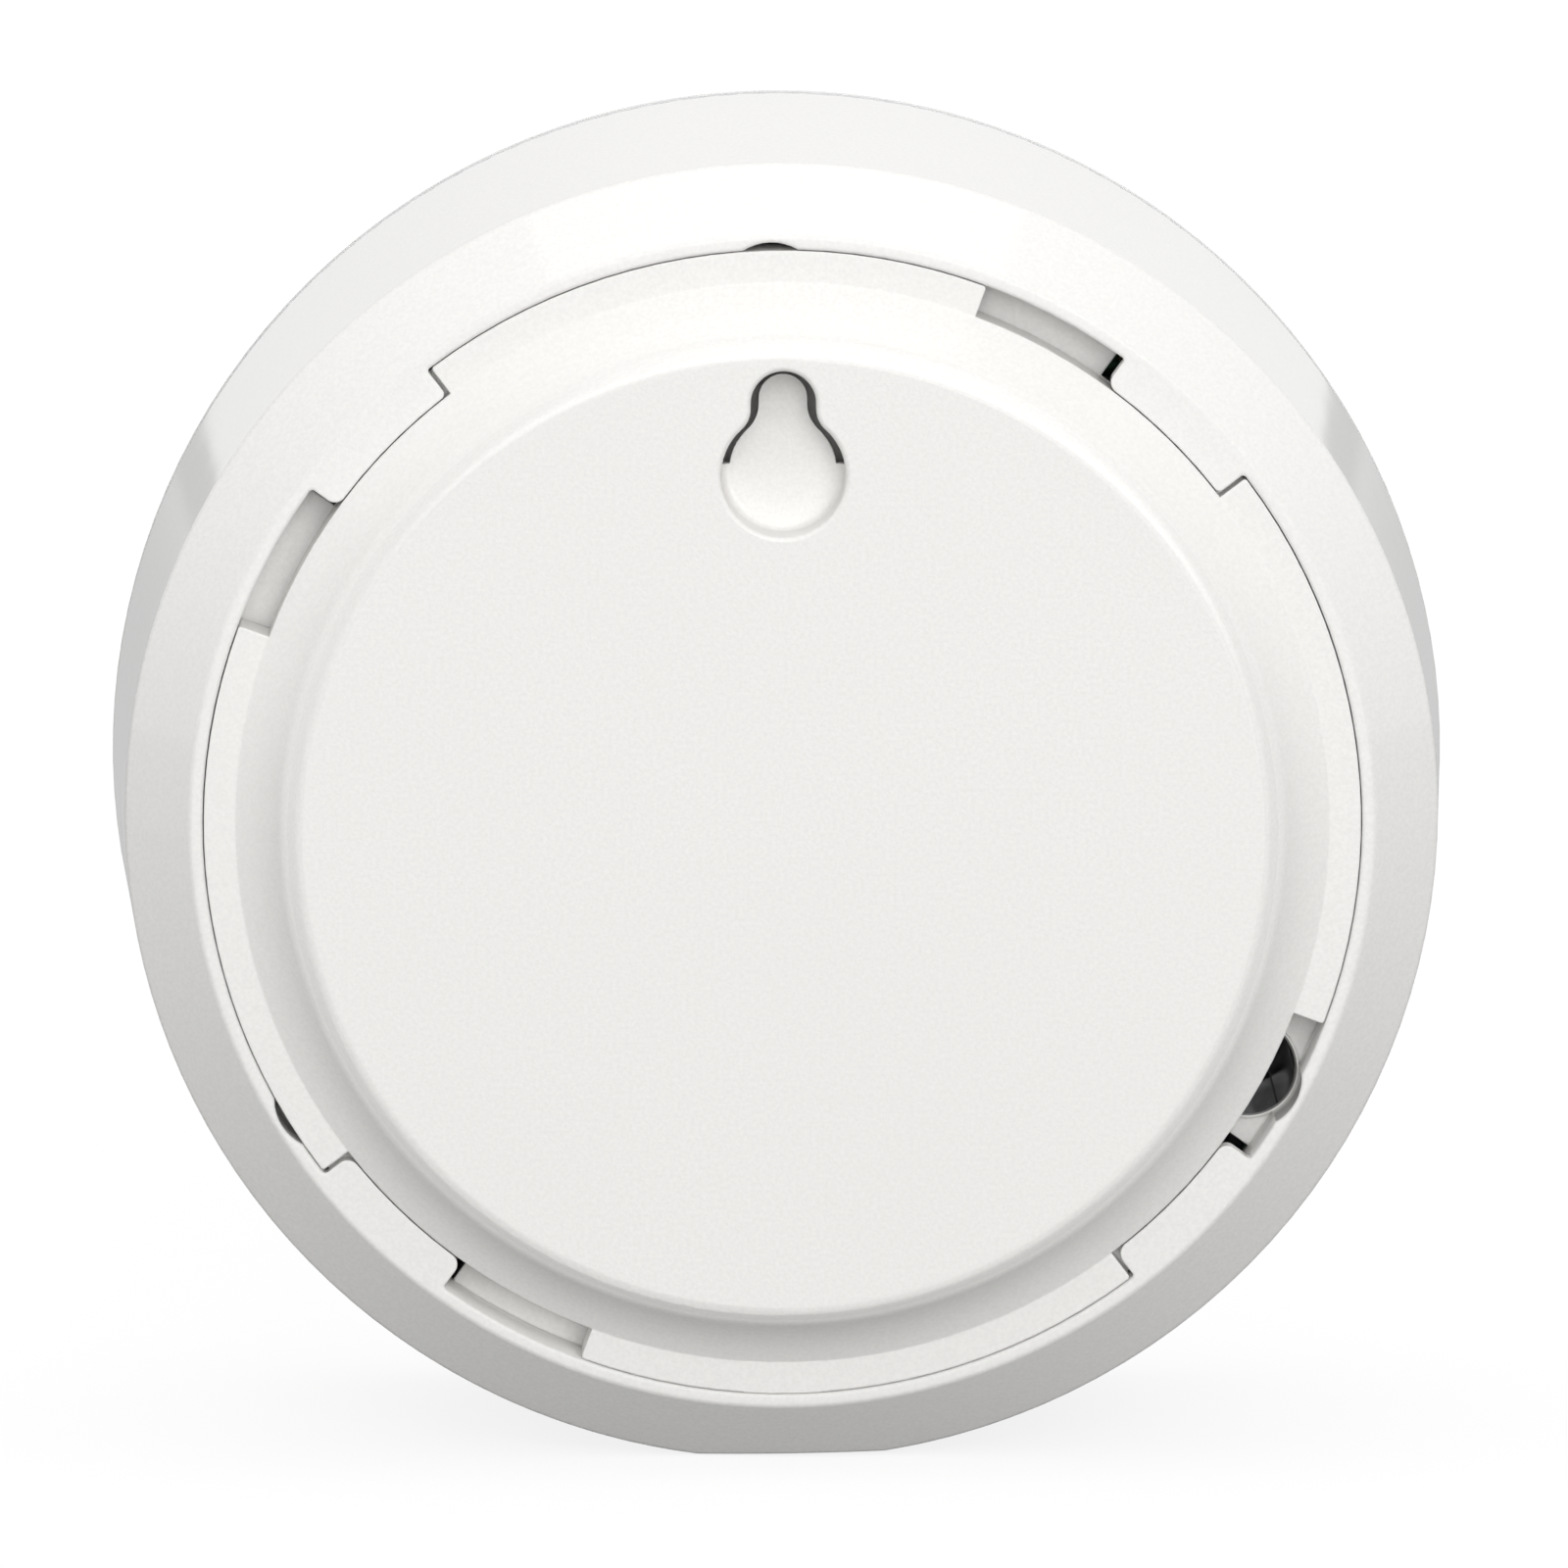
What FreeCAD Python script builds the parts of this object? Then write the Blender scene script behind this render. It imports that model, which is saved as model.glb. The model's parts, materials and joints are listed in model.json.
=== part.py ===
import FreeCAD, Part
import math
import os

# Siren alarm locked on its wall plate, in millimetres
# Y points at the wall, Z points up, and the origin is the centre of the face on the wall
# Angles run counter-clockwise for a viewer at the wall, and start at the side of negative X

# Wall plate
RISE = 5.4
PLATE_WALL = 2.0
FLANGE_WIDTH = 2.44
SLOPE_WIDTH = 5.5
SLOPE_FOOT = 25.0
SLOPE_TOP = 65.0
EDGE_ROUND = 0.95
FLANGE_GAP = 0.1
FLANGE_CORNER = 0.25
SKIRT_GAP = 0.3
PLATE_RIB_WALL = 1.2
PLATE_RIB_HEIGHT = 1.5
PLATE_RIB_COUNT = 6
PLATE_RING_RIB_RADIUS = 19.0

# Keyhole and the spring tongue behind it
KEYHOLE_HEIGHT = 27.9
KEYHOLE_RADIUS = 4.76
SLOT_RISE = 5.5
SLOT_HALF_WIDTH = 2.5
NECK_ROUND = 2.0
KEYHOLE_LIP = 0.35
POCKET_DEPTH = 3.8
POCKET_WALL = 1.2
POCKET_ROUND = 0.6
POCKET_TOP = 0.45
TONGUE_SLIT = 0.65

# Outside of the body
RECESS_RADIUS = 44.64
RECESS_DEPTH = 5.4
LIP_WIDTH = 0.96
CHAMFER_WIDTH = 5.14
CHAMFER_DEPTH = 4.83
FLANK_LENGTH = 31.0
FLANK_DRAFT = 3.55
FOOT_WIDTH = 14.8
BODY_WALL = 2.2
FLOOR_WALL = 2.0
CUP_WALL = 1.9
EDGE_SOFT = 0.3

# Twist lock
BODY_TURN = 0.8
FIRST_TAB = 45.0
TAB_ANGLE = 16.4
TAB_WALL = 1.6
TAB_GAP = 0.1
TAB_START_CORNERS = (0.45, 0.45, 1.0, 1.0)
TAB_END_CORNER = 0.9
TAB_ROOT = 0.3
UNLOCK_TURN = 15.0
LOCK_PLAY = 0.45
OPEN_PLAY = 0.5
LUG_GAP = 0.3
LUG_TIP_GAP = 0.34
TAB_SLOT_START = 0.8
TAB_SLOT_ENDS = (0.3, 0.95, 1.1, 0.2)

# Screw wells
WELL_COUNT = 3
FIRST_WELL = 90.4
WELL_INSET = 3.4
WELL_RADIUS = 3.65
WELL_COLLAR_WALL = 0.3
WELL_COLLAR_HEIGHT = 0.6
WELL_TUBE_WALL = 1.35
WELL_DEPTH = 18.2
WELL_SEAT_WALL = 2.4
SCREW_HEAD_RADIUS = 2.8
SCREW_HEAD_HEIGHT = 2.2
SCREW_RADIUS = 1.45
SCREW_LENGTH = 10.0
SCREW_CLEARANCE = 0.3
PILOT_CLEARANCE = 0.05
CROSS_WIDTH = 0.8
CROSS_SPAN = 3.2
CROSS_DEPTH = 1.1

# Battery bay
CELL_RADIUS = 8.5
CELL_LENGTH = 34.5
CELL_NUB_RADIUS = 3.5
CELL_NUB_LENGTH = 1.0
CELL_EDGE = 0.6
CELL_PROUD = 4.2
CELL_SPACING = 17.7
CELL_GAP = 0.2
CONTACT_ROOM = 3.05
CONTACT_WALL = 0.4
CONTACT_WIDTH = 6.0
CONTACT_TOP = 4.5
CONTACT_BEND = 6.0
CONTACT_TAIL = 0.8
CONTACT_SLOT_GAP = 0.2
TRAY_WALL = 1.4

# Circuit board
BOARD_WALL = 1.6
BOARD_GAP = 0.8
BOARD_INSET = 3.4
BOARD_WELL_GAP = 0.4
POST_COUNT = 3
FIRST_POST = 60.0
POST_INSET = 11.2
POST_RADIUS = 2.8
BOARD_SCREW_RADIUS = 0.95
BOARD_SCREW_HEAD = 2.0
BOARD_SCREW_HEAD_HEIGHT = 1.4
BOARD_SCREW_LENGTH = 8.0
BOARD_HOLE_GAP = 0.2
LED_COUNT = 12
LED_SIZE = 3.5
LED_DEPTH = 2.8
LED_HEIGHT = 1.9
LED_EDGE = 1.2
RADIO_ANGLE = 270.0
RADIO_INSET = 12.2
RADIO_WIDTH = 20.0
RADIO_DEPTH = 13.0
RADIO_WALL = 0.8
SHIELD_WIDTH = 14.0
SHIELD_DEPTH = 11.0
SHIELD_HEIGHT = 2.0
SHIELD_CORNER = 0.8
ANTENNA_INSET = 6.2
ANTENNA_START = 160.0
ANTENNA_END = 195.0
ANTENNA_HEIGHT = 3.4
ANTENNA_RADIUS = 0.5
ANTENNA_POST_RADIUS = 0.8
PART_INSET = 12.0
COIL_ANGLE = 40.0
COIL_FLANGE_RADIUS = 4.6
COIL_CORE_RADIUS = 2.4
COIL_WINDING_RADIUS = 4.1
COIL_FLANGE_WALL = 1.2
COIL_HEIGHT = 8.6
CAPACITOR_ANGLE = 140.0
CAPACITOR_RADIUS = 5.0
CAPACITOR_HEIGHT = 11.0
CAPACITOR_GROOVE = 0.35
CAPACITOR_GROOVE_HEIGHT = 2.0
CHIP_ANGLE = 0.0
CHIP_SIZE = 7.0
CHIP_HEIGHT = 0.9
LEAD_ANGLE = 315.0
SOCKET_WIDTH = 6.0
SOCKET_DEPTH = 4.0
SOCKET_HEIGHT = 4.0
SOCKET_GAP = 4.0
LEAD_RADIUS = 0.6
LEAD_SPACING = 2.5
LEAD_HEIGHT = 2.0

# Siren sounder
PAD_RADIUS = 10.0
PAD_WALL = 1.0
SOUNDER_RADIUS = 21.0
SOUNDER_SEAT_RISE = 1.2
SOUNDER_WALL = 1.6
SOUNDER_BASE_WALL = 2.0
SOUNDER_FACE_WALL = 1.5
SOUNDER_MOUTH = 6.0
SOUNDER_CHAMBER_HEIGHT = 3.8
SOUNDER_LEDGE = 2.9
SPIGOT_GAP = 0.1
SPIGOT_WALL = 3.4
DISC_EDGE_GAP = 1.9
DISC_WALL = 0.3
CERAMIC_INSET = 5.0
CERAMIC_WALL = 0.25
GASKET_WALL = 1.2
GASKET_WIDTH = 4.6
MESH_WALL = 0.3
COLLAR_GAP = 0.3
COLLAR_WALL = 1.5
COLLAR_HEIGHT = 7.0

# Front
SEAM = 0.12
BAND_HEIGHT = 0.9
BAND_SPIGOT_GAP = 0.3
BAND_SPIGOT_WALL = 0.9
BAND_SPIGOT_HEIGHT = 2.0
GUIDE_WALL = 1.6
GUIDE_LED_GAP = 0.6
GUIDE_WELL_GAP = 0.3
COVER_WALL = 2.2
COVER_EDGE_ROUND = 1.6
COVER_EDGE_BAND = 0.25
DOME_RISE = 1.8
COVER_SPIGOT_WALL = 1.6
COVER_SPIGOT_GAP = 0.25
COVER_SPIGOT_HEIGHT = 3.2
BOSS_RADIUS = 3.4
SOUND_RING_COUNT = 3
SOUND_RING_FIRST = 5.0
SOUND_RING_PITCH = 4.2
SOUND_SLOT_WIDTH = 1.7
SOUND_SLOT_LAND = 2.0
SOUND_DISH_MARGIN = 2.6
SOUND_DISH_DEPTH = 0.6
SOUND_DISH_EDGE = 1.0

# Tamper plunger and function button
TAMPER_ANGLE = 150.0
BUTTON_ANGLE = 30.0
PIN_RADIUS = 1.8
PIN_GAP = 0.1
PIN_STANDS = 3.8
PIN_TRAVEL = 1.6
PIN_COLLAR = 1.0
PIN_COLLAR_WALL = 1.0
PIN_STOP_GAP = 0.3
PIN_TIP_GAP = 0.3
PIN_GUIDE_LENGTH = 4.2
PIN_GUIDE_WALL = 1.2
RAMP_LEAD = 2.6
RAMP_SIDE = 2.0
BUTTON_RADIUS = 3.0
BUTTON_SUNK = 0.1
BUTTON_FLANGE = 0.9
BUTTON_FLANGE_WALL = 0.8
BUTTON_FLANGE_GAP = 0.2
BUTTON_STEM = 1.5
BUTTON_TRAVEL = 0.4
BUTTON_EDGE = 0.4
SWITCH_SIZE = 6.0
SWITCH_HEIGHT = 3.0
SWITCH_ACTUATOR_RADIUS = 1.6
SWITCH_ACTUATOR_HEIGHT = 0.9
SWITCH_GAP = 0.2
SWITCH_BAY_GAP = 0.2

# Levels and radii that follow from the sizes above
OVERLAP = 0.5
NEAR = 0.01
LIP_Y = -RISE
FLOOR_Y = LIP_Y - RECESS_DEPTH
UNDER_FLOOR_Y = FLOOR_Y - FLOOR_WALL
RIM_Y = LIP_Y - CHAMFER_DEPTH
HOUSING_FRONT_Y = RIM_Y - FLANK_LENGTH
LIP_RADIUS = RECESS_RADIUS + LIP_WIDTH
RIM_RADIUS = LIP_RADIUS + CHAMFER_WIDTH
FOOT_LEVEL = math.sqrt(RIM_RADIUS ** 2 - (FOOT_WIDTH / 2) ** 2)
FLANGE_RADIUS = RECESS_RADIUS - FLANGE_GAP
CREASE_RADIUS = FLANGE_RADIUS - FLANGE_WIDTH
FLAT_RADIUS = CREASE_RADIUS - SLOPE_WIDTH
SKIRT_Y = FLOOR_Y + WELL_COLLAR_HEIGHT + SKIRT_GAP
TAB_RADIUS = CREASE_RADIUS + TAB_GAP
TAB_COUNT = len(TAB_SLOT_ENDS)
WELL_CIRCLE = RECESS_RADIUS - WELL_INSET
WELL_SEAT_Y = FLOOR_Y - WELL_DEPTH
WELL_END_Y = WELL_SEAT_Y - WELL_SEAT_WALL
WELL_TUBE_RADIUS = WELL_RADIUS + WELL_TUBE_WALL
CELL_Y = FLOOR_Y + CELL_PROUD - CELL_RADIUS
CRADLE_RADIUS = CELL_RADIUS + CELL_GAP
BAY_HALF_LENGTH = CELL_LENGTH / 2 + CONTACT_ROOM
BAY_HALF_WIDTH = CELL_SPACING / 2 + CRADLE_RADIUS
TRAY_Y = CELL_Y - CRADLE_RADIUS - TRAY_WALL
BOARD_BACK_Y = TRAY_Y - BOARD_GAP
BOARD_FRONT_Y = BOARD_BACK_Y - BOARD_WALL
BOARD_RADIUS = RIM_RADIUS - BODY_WALL - BOARD_INSET
POST_CIRCLE = BOARD_RADIUS - POST_INSET
RADIO_CIRCLE = BOARD_RADIUS - RADIO_INSET
ANTENNA_CIRCLE = BOARD_RADIUS - ANTENNA_INSET
PART_CIRCLE = BOARD_RADIUS - PART_INSET
SOUNDER_BACK_Y = BOARD_FRONT_Y - PAD_WALL
SOUNDER_BORE = SOUNDER_RADIUS - SOUNDER_WALL
SOUNDER_CHAMBER_RADIUS = SOUNDER_BORE - SOUNDER_LEDGE
DISC_RADIUS = SOUNDER_BORE - DISC_EDGE_GAP
CERAMIC_RADIUS = DISC_RADIUS - CERAMIC_INSET
BAND_BACK_Y = HOUSING_FRONT_Y - SEAM
BAND_FRONT_Y = BAND_BACK_Y - BAND_HEIGHT
COVER_BACK_Y = BAND_FRONT_Y - SEAM
COVER_FACE_Y = COVER_BACK_Y - COVER_EDGE_BAND - COVER_EDGE_ROUND
DOME_TIP_Y = COVER_FACE_Y - DOME_RISE
GRILLE_INSIDE_Y = DOME_TIP_Y + SOUND_DISH_DEPTH + COVER_WALL
SEAT_Y = GRILLE_INSIDE_Y + SOUNDER_SEAT_RISE
SOUNDER_FRONT_Y = SEAT_Y + GASKET_WALL
SOUND_RADIUS = SOUND_RING_FIRST + (SOUND_RING_COUNT - 1) * SOUND_RING_PITCH + SOUND_SLOT_WIDTH / 2
MESH_RADIUS = SOUND_RADIUS + SOUND_SLOT_LAND
SWITCH_TURN = math.radians(BUTTON_ANGLE)
SWITCH_REACH = SWITCH_SIZE / 2 * (math.cos(SWITCH_TURN) + math.sin(SWITCH_TURN))
PLUNGER_CIRCLE = (BAY_HALF_LENGTH + TRAY_WALL + SWITCH_BAY_GAP + SWITCH_REACH) / math.cos(SWITCH_TURN)
PIN_TIP_Y = FLOOR_Y + PIN_STANDS
SWITCH_TOP_Y = BOARD_BACK_Y + SWITCH_HEIGHT + SWITCH_ACTUATOR_HEIGHT

V = FreeCAD.Vector
ORIGIN = V(0, 0, 0)
BACK = V(0, 1, 0)


# Basic forms
def seen(radius, degrees, y=0.0):
    angle = math.radians(degrees)
    return V(-radius * math.cos(angle), y, radius * math.sin(angle))


def disc(radius, y_from, y_to, centre=ORIGIN):
    low = V(centre.x, min(y_from, y_to), centre.z)
    return Part.makeCylinder(radius, abs(y_to - y_from), low, BACK)


def ring(inner, outer, y_from, y_to, centre=ORIGIN):
    return disc(outer, y_from, y_to, centre).cut(disc(inner, y_from, y_to, centre))


def block(width, y_from, y_to, depth, centre=ORIGIN):
    corner = V(centre.x - width / 2, min(y_from, y_to), centre.z - depth / 2)
    return Part.makeBox(width, abs(y_to - y_from), depth, corner)


def block_at(radius, degrees, width, depth, y_from, y_to):
    plain = block(depth, y_from, y_to, width, V(-radius, 0, 0))
    plain.rotate(ORIGIN, BACK, degrees)
    return plain


def line(start, end):
    return Part.LineSegment(start, end).toShape()


def arc(start, middle, end):
    return Part.Arc(start, middle, end).toShape()


def turned(points):
    corners = [V(radius, y, 0) for radius, y in points]
    outline = Part.makePolygon(corners + corners[:1])
    return Part.Face(outline).revolve(ORIGIN, BACK, 360)


def turned_edges(edges):
    return Part.Face(Part.Wire(edges)).revolve(ORIGIN, BACK, 360)


def sector(inner, outer, start, end, y_from, y_to):
    low = min(y_from, y_to)
    middle = (start + end) / 2
    edges = [
        arc(seen(outer, start, low), seen(outer, middle, low), seen(outer, end, low)),
        line(seen(outer, end, low), seen(inner, end, low)),
        arc(seen(inner, end, low), seen(inner, middle, low), seen(inner, start, low)),
        line(seen(inner, start, low), seen(outer, start, low)),
    ]
    return Part.Face(Part.Wire(edges)).extrude(V(0, abs(y_to - y_from), 0))


def is_upright(edge):
    if len(edge.Vertexes) != 2:
        return False
    step = edge.Vertexes[1].Point - edge.Vertexes[0].Point
    return edge.Curve.TypeId == "Part::GeomLine" and abs(step.y) > 0.99 * step.Length


def radius_of(edge):
    point = edge.Vertexes[0].Point
    return math.hypot(point.x, point.z)


def round_uprights(solid, size, radius):
    edges = [edge for edge in solid.Edges if is_upright(edge) and abs(radius_of(edge) - radius) < NEAR]
    return solid.makeFillet(size, edges)


def around(count, first, step=None):
    pitch = 360.0 / count if step is None else step
    return [first + pitch * index for index in range(count)]


def below_foot(level):
    reach = 4 * RIM_RADIUS
    return Part.makeBox(reach, reach, reach, V(-reach / 2, -reach / 2, -level - reach))


def turned_with_body(shape):
    placed = shape.copy()
    placed.rotate(ORIGIN, BACK, BODY_TURN)
    return placed


def shaped(base, added, removed):
    for piece in added:
        base = base.fuse(piece)
    for piece in removed:
        base = base.cut(piece)
    return base.removeSplitter()


def flank_radius(y):
    return RIM_RADIUS + (RIM_Y - y) * math.tan(math.radians(FLANK_DRAFT))


# Wall plate
def plate_shell():
    top = math.radians(SLOPE_TOP)
    edge = V(FLAT_RADIUS, 0, 0)
    edge_middle = V(FLAT_RADIUS + EDGE_ROUND * math.sin(top / 2), -EDGE_ROUND * (1 - math.cos(top / 2)), 0)
    slope_top = V(FLAT_RADIUS + EDGE_ROUND * math.sin(top), -EDGE_ROUND * (1 - math.cos(top)), 0)
    crease = V(CREASE_RADIUS, LIP_Y, 0)
    chord = slope_top - crease
    sag = chord.Length / 2 * math.tan(math.radians(SLOPE_TOP - SLOPE_FOOT) / 4)
    hollow_side = V(chord.y, -chord.x, 0).normalize() * -sag
    slope_middle = (crease + slope_top) * 0.5 + hollow_side
    inner_radius = CREASE_RADIUS - PLATE_WALL
    corners = [
        crease,
        V(CREASE_RADIUS, SKIRT_Y, 0),
        V(inner_radius, SKIRT_Y, 0),
        V(inner_radius, LIP_Y - PLATE_WALL / 2, 0),
        V(FLAT_RADIUS - PLATE_WALL / 2, -PLATE_WALL, 0),
        V(0, -PLATE_WALL, 0),
        ORIGIN,
        edge,
    ]
    edges = [line(start, end) for start, end in zip(corners, corners[1:])]
    edges.append(arc(edge, edge_middle, slope_top))
    edges.append(arc(slope_top, slope_middle, crease))
    return turned_edges(edges)


def keyhole(trim, y_from, y_to):
    hole = V(0, 0, KEYHOLE_HEIGHT)
    slot_top = V(0, 0, KEYHOLE_HEIGHT + SLOT_RISE)
    hole_radius = KEYHOLE_RADIUS - trim
    half_width = SLOT_HALF_WIDTH - trim
    slot = block(2 * half_width, y_from, y_to, SLOT_RISE, (hole + slot_top) * 0.5)
    shape = disc(hole_radius, y_from, y_to, hole)
    shape = shape.fuse([slot, disc(half_width, y_from, y_to, slot_top)]).removeSplitter()
    neck_height = KEYHOLE_HEIGHT + math.sqrt(hole_radius ** 2 - half_width ** 2)
    necks = [edge for edge in shape.Edges
             if is_upright(edge) and abs(edge.Vertexes[0].Point.z - neck_height) < NEAR]
    return shape.makeFillet(NECK_ROUND + trim, necks)


def keyhole_pocket():
    hole = V(0, 0, KEYHOLE_HEIGHT)
    bottom_y = -POCKET_DEPTH
    cup = disc(KEYHOLE_RADIUS + POCKET_WALL, -PLATE_WALL / 2, bottom_y - POCKET_WALL, hole)
    above = block(4 * KEYHOLE_RADIUS, 0, 2 * bottom_y, 2 * KEYHOLE_RADIUS,
                  hole + V(0, 0, POCKET_TOP + KEYHOLE_RADIUS))
    return cup.cut(above)


def keyhole_room():
    radius = KEYHOLE_RADIUS
    bottom = -POCKET_DEPTH
    bend = POCKET_ROUND * (1 - math.sqrt(0.5))
    edges = [
        line(V(0, bottom, 0), V(radius - POCKET_ROUND, bottom, 0)),
        arc(V(radius - POCKET_ROUND, bottom, 0), V(radius - bend, bottom + bend, 0),
            V(radius, bottom + POCKET_ROUND, 0)),
        line(V(radius, bottom + POCKET_ROUND, 0), V(radius, OVERLAP, 0)),
        line(V(radius, OVERLAP, 0), V(0, OVERLAP, 0)),
        line(V(0, OVERLAP, 0), V(0, bottom, 0)),
    ]
    room = turned_edges(edges)
    room.translate(V(0, 0, KEYHOLE_HEIGHT))
    return room


def flange_and_lugs():
    lock_start = FIRST_TAB + BODY_TURN - TAB_ANGLE / 2 - LOCK_PLAY
    open_end = FIRST_TAB + BODY_TURN + TAB_ANGLE / 2 + UNLOCK_TURN + OPEN_PLAY
    lug_end = lock_start + UNLOCK_TURN - LOCK_PLAY
    pitch = 360.0 / TAB_COUNT
    lug_y = LIP_Y - TAB_WALL - LUG_GAP
    inner = CREASE_RADIUS - OVERLAP
    lug_radius = RECESS_RADIUS - LUG_TIP_GAP
    pieces = []
    for turn in around(TAB_COUNT, 0.0):
        flange = sector(inner, FLANGE_RADIUS, open_end + turn - pitch, lock_start + turn, LIP_Y, SKIRT_Y)
        pieces.append(round_uprights(flange, FLANGE_CORNER, FLANGE_RADIUS))
        pieces.append(sector(inner, lug_radius, lock_start + turn - LOCK_PLAY, lug_end + turn, lug_y, SKIRT_Y))
    return pieces


def plate_ribs():
    low = -PLATE_WALL - PLATE_RIB_HEIGHT
    half = PLATE_RIB_WALL / 2
    inner = PLATE_RING_RIB_RADIUS - half
    outer = PLATE_RING_RIB_RADIUS + half
    ribs = [ring(inner, outer, -PLATE_WALL / 2, low)]
    length = FLAT_RADIUS - PLATE_RING_RIB_RADIUS
    for turn in around(PLATE_RIB_COUNT, 0.0):
        centre = PLATE_RING_RIB_RADIUS + length / 2
        ribs.append(block_at(centre, turn, PLATE_RIB_WALL, length, -PLATE_WALL / 2, low))
    return ribs


def tamper_ramp():
    # The slope lifts by the pin's travel over the arc that the pin covers while the body unlocks
    run = PLUNGER_CIRCLE * math.radians(UNLOCK_TURN)
    slope = PIN_TRAVEL / run
    foot = PIN_TIP_Y + PIN_TIP_GAP
    length = run + RAMP_LEAD
    outer = PLUNGER_CIRCLE + RAMP_SIDE
    inner = outer - 2 * RAMP_SIDE - PLUNGER_CIRCLE * (1 - math.cos(math.radians(UNLOCK_TURN)))
    corners = [
        V(-inner, -PLATE_WALL / 2, -RAMP_LEAD),
        V(-inner, foot - slope * RAMP_LEAD, -RAMP_LEAD),
        V(-inner, foot + slope * length, length),
        V(-inner, -PLATE_WALL / 2, length),
    ]
    side = Part.Face(Part.makePolygon(corners + corners[:1]))
    ramp = side.extrude(V(inner - outer, 0, 0))
    ramp.rotate(ORIGIN, BACK, TAMPER_ANGLE + BODY_TURN)
    return ramp


def mount_plate():
    plate = plate_shell().cut(keyhole(0.0, OVERLAP, -PLATE_WALL - OVERLAP))
    rim = [edge for edge in plate.Edges
           if abs(edge.BoundBox.YMin) < NEAR and abs(edge.BoundBox.YMax) < NEAR
           and edge.BoundBox.ZMin > KEYHOLE_HEIGHT - 2 * KEYHOLE_RADIUS
           and edge.BoundBox.XMax < FLAT_RADIUS / 2]
    plate = plate.makeFillet(KEYHOLE_LIP, rim)
    pocket = keyhole_pocket().cut(keyhole_room())
    tongue = keyhole(TONGUE_SLIT, -POCKET_DEPTH, -POCKET_DEPTH - POCKET_WALL)
    plate = plate.fuse([pocket, tongue] + flange_and_lugs() + plate_ribs() + [tamper_ramp()])
    return plate.removeSplitter()


# Body
def round_tab_corner(tab, degrees, radius):
    corner = seen(TAB_RADIUS, degrees)
    near = [edge for edge in tab.Edges if is_upright(edge)
            and math.hypot(edge.Vertexes[0].X - corner.x, edge.Vertexes[0].Z - corner.z) < NEAR]
    return tab.makeFillet(radius, near)


def tab_with_roots(centre, start_corner):
    start = centre - TAB_ANGLE / 2
    end = centre + TAB_ANGLE / 2
    low = LIP_Y - TAB_WALL
    tab = sector(TAB_RADIUS, RECESS_RADIUS + OVERLAP, start, end, LIP_Y, low)
    tab = round_tab_corner(tab, start, start_corner)
    tab = round_tab_corner(tab, end, TAB_END_CORNER)
    root_angle = math.degrees(TAB_ROOT / RECESS_RADIUS)
    inner = RECESS_RADIUS - TAB_ROOT
    roots = []
    for edge_angle, side in ((start, -1), (end, 1)):
        limits = sorted((edge_angle, edge_angle + side * root_angle))
        root = sector(inner, RECESS_RADIUS + OVERLAP, limits[0], limits[1], LIP_Y, low)
        hollow = disc(TAB_ROOT, LIP_Y, low, seen(inner, edge_angle + side * root_angle))
        roots.append(root.cut(hollow))
    return tab.fuse(roots)


def tab_slot(centre, past_end):
    start = centre - TAB_ANGLE / 2 - TAB_SLOT_START
    end = centre + TAB_ANGLE / 2 + past_end
    return sector(CREASE_RADIUS, RECESS_RADIUS, start, end, FLOOR_Y + OVERLAP, UNDER_FLOOR_Y - OVERLAP)


def body_hollow():
    top = LIP_Y
    slope = CHAMFER_WIDTH / CHAMFER_DEPTH
    side = BODY_WALL * math.hypot(CHAMFER_WIDTH, CHAMFER_DEPTH) / CHAMFER_DEPTH
    widest = flank_radius(HOUSING_FRONT_Y)
    cone_foot = top - (widest - LIP_RADIUS + side) / slope
    front = HOUSING_FRONT_Y - OVERLAP
    flank = turned([(0, top), (flank_radius(top) - BODY_WALL, top),
                    (flank_radius(front) - BODY_WALL, front), (0, front)])
    chamfer = turned([(0, top), (LIP_RADIUS - side, top), (widest, cone_foot), (widest, front), (0, front)])
    cup = disc(RECESS_RADIUS + CUP_WALL, LIP_Y + OVERLAP, UNDER_FLOOR_Y)
    hollow = flank.common(chamfer).cut(cup)
    return hollow.cut(below_foot(FOOT_LEVEL - BODY_WALL))


def battery_tray():
    width = 2 * (BAY_HALF_LENGTH + TRAY_WALL)
    depth = 2 * (BAY_HALF_WIDTH + TRAY_WALL)
    return block(width, FLOOR_Y - FLOOR_WALL / 2, TRAY_Y, depth)


def battery_room():
    room = block(2 * BAY_HALF_LENGTH, FLOOR_Y + OVERLAP, CELL_Y, 2 * BAY_HALF_WIDTH)
    cradles = []
    for side in (-1, 1):
        start = V(-BAY_HALF_LENGTH, CELL_Y, side * CELL_SPACING / 2)
        cradles.append(Part.makeCylinder(CRADLE_RADIUS, 2 * BAY_HALF_LENGTH, start, V(1, 0, 0)))
    return room.fuse(cradles)


def contact_slots(y_from, y_to):
    slots = []
    for side in (-1, 1):
        for cell in (-1, 1):
            centre = V(side * contact_x(), 0, cell * CELL_SPACING / 2)
            gap = 2 * CONTACT_SLOT_GAP
            slots.append(block(CONTACT_WALL + gap, y_from, y_to, CONTACT_WIDTH + gap, centre))
    return slots


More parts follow.
